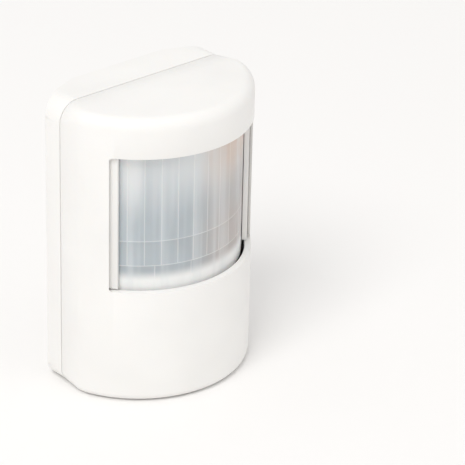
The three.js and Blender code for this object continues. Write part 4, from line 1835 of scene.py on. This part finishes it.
@dataclass
class Studio:
    """The floor, the light and the camera."""

    azimuth: float = -42.7163
    elevation: float = 26.446
    roll: float = 1.3825
    distance: float = 923.85
    focus: tuple[float, float, float] = (26.933, -5.226, 43.993)
    lens: float = 204.893
    floor_tint: Colour = (0.93, 0.92, 0.91)
    sky: float = 0.67
    floor_drop: float = 0.25
    floor_size: float = 30.0

    def camera(self) -> None:
        """Stands the camera at its viewing angle."""
        turn, tilt, roll = (math.radians(v) for v in (self.azimuth, self.elevation, self.roll))
        back = Vector(
            (math.sin(turn) * math.cos(tilt), -math.cos(turn) * math.cos(tilt), math.sin(tilt))
        )
        right = Vector((math.cos(turn), math.sin(turn), 0))
        up = back.cross(right)
        across = right * math.cos(roll) + up * math.sin(roll)
        upright = up * math.cos(roll) - right * math.sin(roll)
        place = (Vector(self.focus) + back * self.distance) * MM
        clear_selection()
        bpy.ops.object.camera_add(location=place)
        camera = bpy.context.object
        camera.name = "studio_camera"
        rows = [across, upright, back]
        matrix = [[rows[j][i] for j in range(3)] + [place[i]] for i in range(3)]
        camera.matrix_world = Matrix([*matrix, [0, 0, 0, 1]])
        camera.data.lens = self.lens
        camera.data.sensor_width = 36
        camera.data.clip_start = 0.05
        camera.data.clip_end = 50
        bpy.context.scene.camera = camera

    def floor(self) -> None:
        """Lays the plain pale floor."""
        clear_selection()
        bpy.ops.mesh.primitive_plane_add(
            size=self.floor_size, location=(0, 0, -self.floor_drop * MM)
        )
        floor = bpy.context.object
        floor.name = "studio_floor"
        paint = Paint("floor")
        tone = paint.noise(0.002, 2)
        paint.colour(
            paint.ramp(tone, (0.3, shade(self.floor_tint, 0.995)), (0.7, self.floor_tint))
        )
        paint.fix(Roughness=0.9, Specular_IOR_Level=0.1)
        floor.data.materials.append(paint.material)

    def lamp(
        self, name: str, place: Sequence[float], size: float, power: float, tint: Colour
    ) -> None:
        """Hangs a square soft light that faces the middle of the housing.

        Args:
            name: The light's name.
            place: Where it hangs, in metres.
            size: Length of its side, in metres.
            power: Watts.
            tint: Its colour.
        """
        clear_selection()
        aim = Vector((0, 0, 0.05)) - Vector(place)
        bpy.ops.object.light_add(
            type="AREA", location=place, rotation=aim.to_track_quat("-Z", "Y").to_euler()
        )
        lamp = bpy.context.object
        lamp.name = name
        lamp.data.size = size
        lamp.data.energy = power
        lamp.data.color = tint

    def build(self) -> None:
        """Sets the stage."""
        self.camera()
        self.floor()
        self.lamp("key_light", (-2.37, -1.02, 3.35), 2.0, 72, (1.0, 0.995, 0.985))
        self.lamp("fill_light", (1.6, -3.2, 1.9), 3.0, 9, (1.0, 0.99, 0.97))
        self.lamp("top_light", (0.0, 0.3, 3.2), 3.0, 10, (1.0, 0.995, 0.99))
        world = bpy.data.worlds.new("studio")
        world.use_nodes = True
        sky = world.node_tree.nodes["Background"].inputs
        sky["Color"].default_value = (1, 0.995, 0.99, 1)
        sky["Strength"].default_value = self.sky
        bpy.context.scene.world = world
        bpy.context.scene.view_settings.view_transform = "Standard"


def dress_frame_nodes(shop: Shop) -> None:
    """Gives the frame's own pieces that still show their finishes.

    Args:
        shop: The finishes.
    """
    finishes = {
        "pcb": shop.mask,
        "pcb_screw_left": shop.screw,
        "pcb_screw_right": shop.screw,
        "pyro_can": shop.steel,
        "pyro_window": shop.filter,
        "pyro_gasket": shop.foam,
        "status_led": shop.light,
        "test_button": shop.black,
        "test_button_cap": shop.cap,
        "dip_switch": shop.blue,
        "dip_slider_1": shop.white,
        "dip_slider_2": shop.white,
        "tamper_switch": shop.black,
        "tamper_plunger": shop.red,
        "antenna_coil": shop.copper,
        "controller_chip": shop.black,
        "radio_shield": shop.steel,
        "crystal": shop.steel,
        "capacitor_upper": shop.sleeve,
        "capacitor_lower": shop.sleeve,
        "programming_header": shop.black,
        "battery_holder": shop.holder,
        "battery_lower": shop.jacket_lower,
        "battery_upper": shop.jacket_upper,
        "battery_spring_lower": shop.steel,
        "battery_spring_upper": shop.steel,
        "battery_contact_lower": shop.steel,
        "battery_contact_upper": shop.steel,
        "lock_screw": shop.screw,
    }
    for name, material in finishes.items():
        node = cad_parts[name]
        if node.hide_render:
            continue
        for place in node.material_slots:
            place.material = material
        LOG.info("%s: carried over, dressed in %s", name, material.name)


def write_sizes() -> None:
    """Updates the view layer."""
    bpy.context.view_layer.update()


def main() -> None:
    """Builds the sensor, piece by piece."""
    Studio().build()
    shop = Shop()
    housing = Housing(shop)
    housing.rear()
    housing.front()
    optics = Optics(shop)
    optics.lens()
    optics.frame()
    PowerPack(shop).build()
    Board(shop).build()
    Closure(shop).build()
    dress_frame_nodes(shop)
    clear_selection()
    write_sizes()


if __name__ == "__main__":
    main()
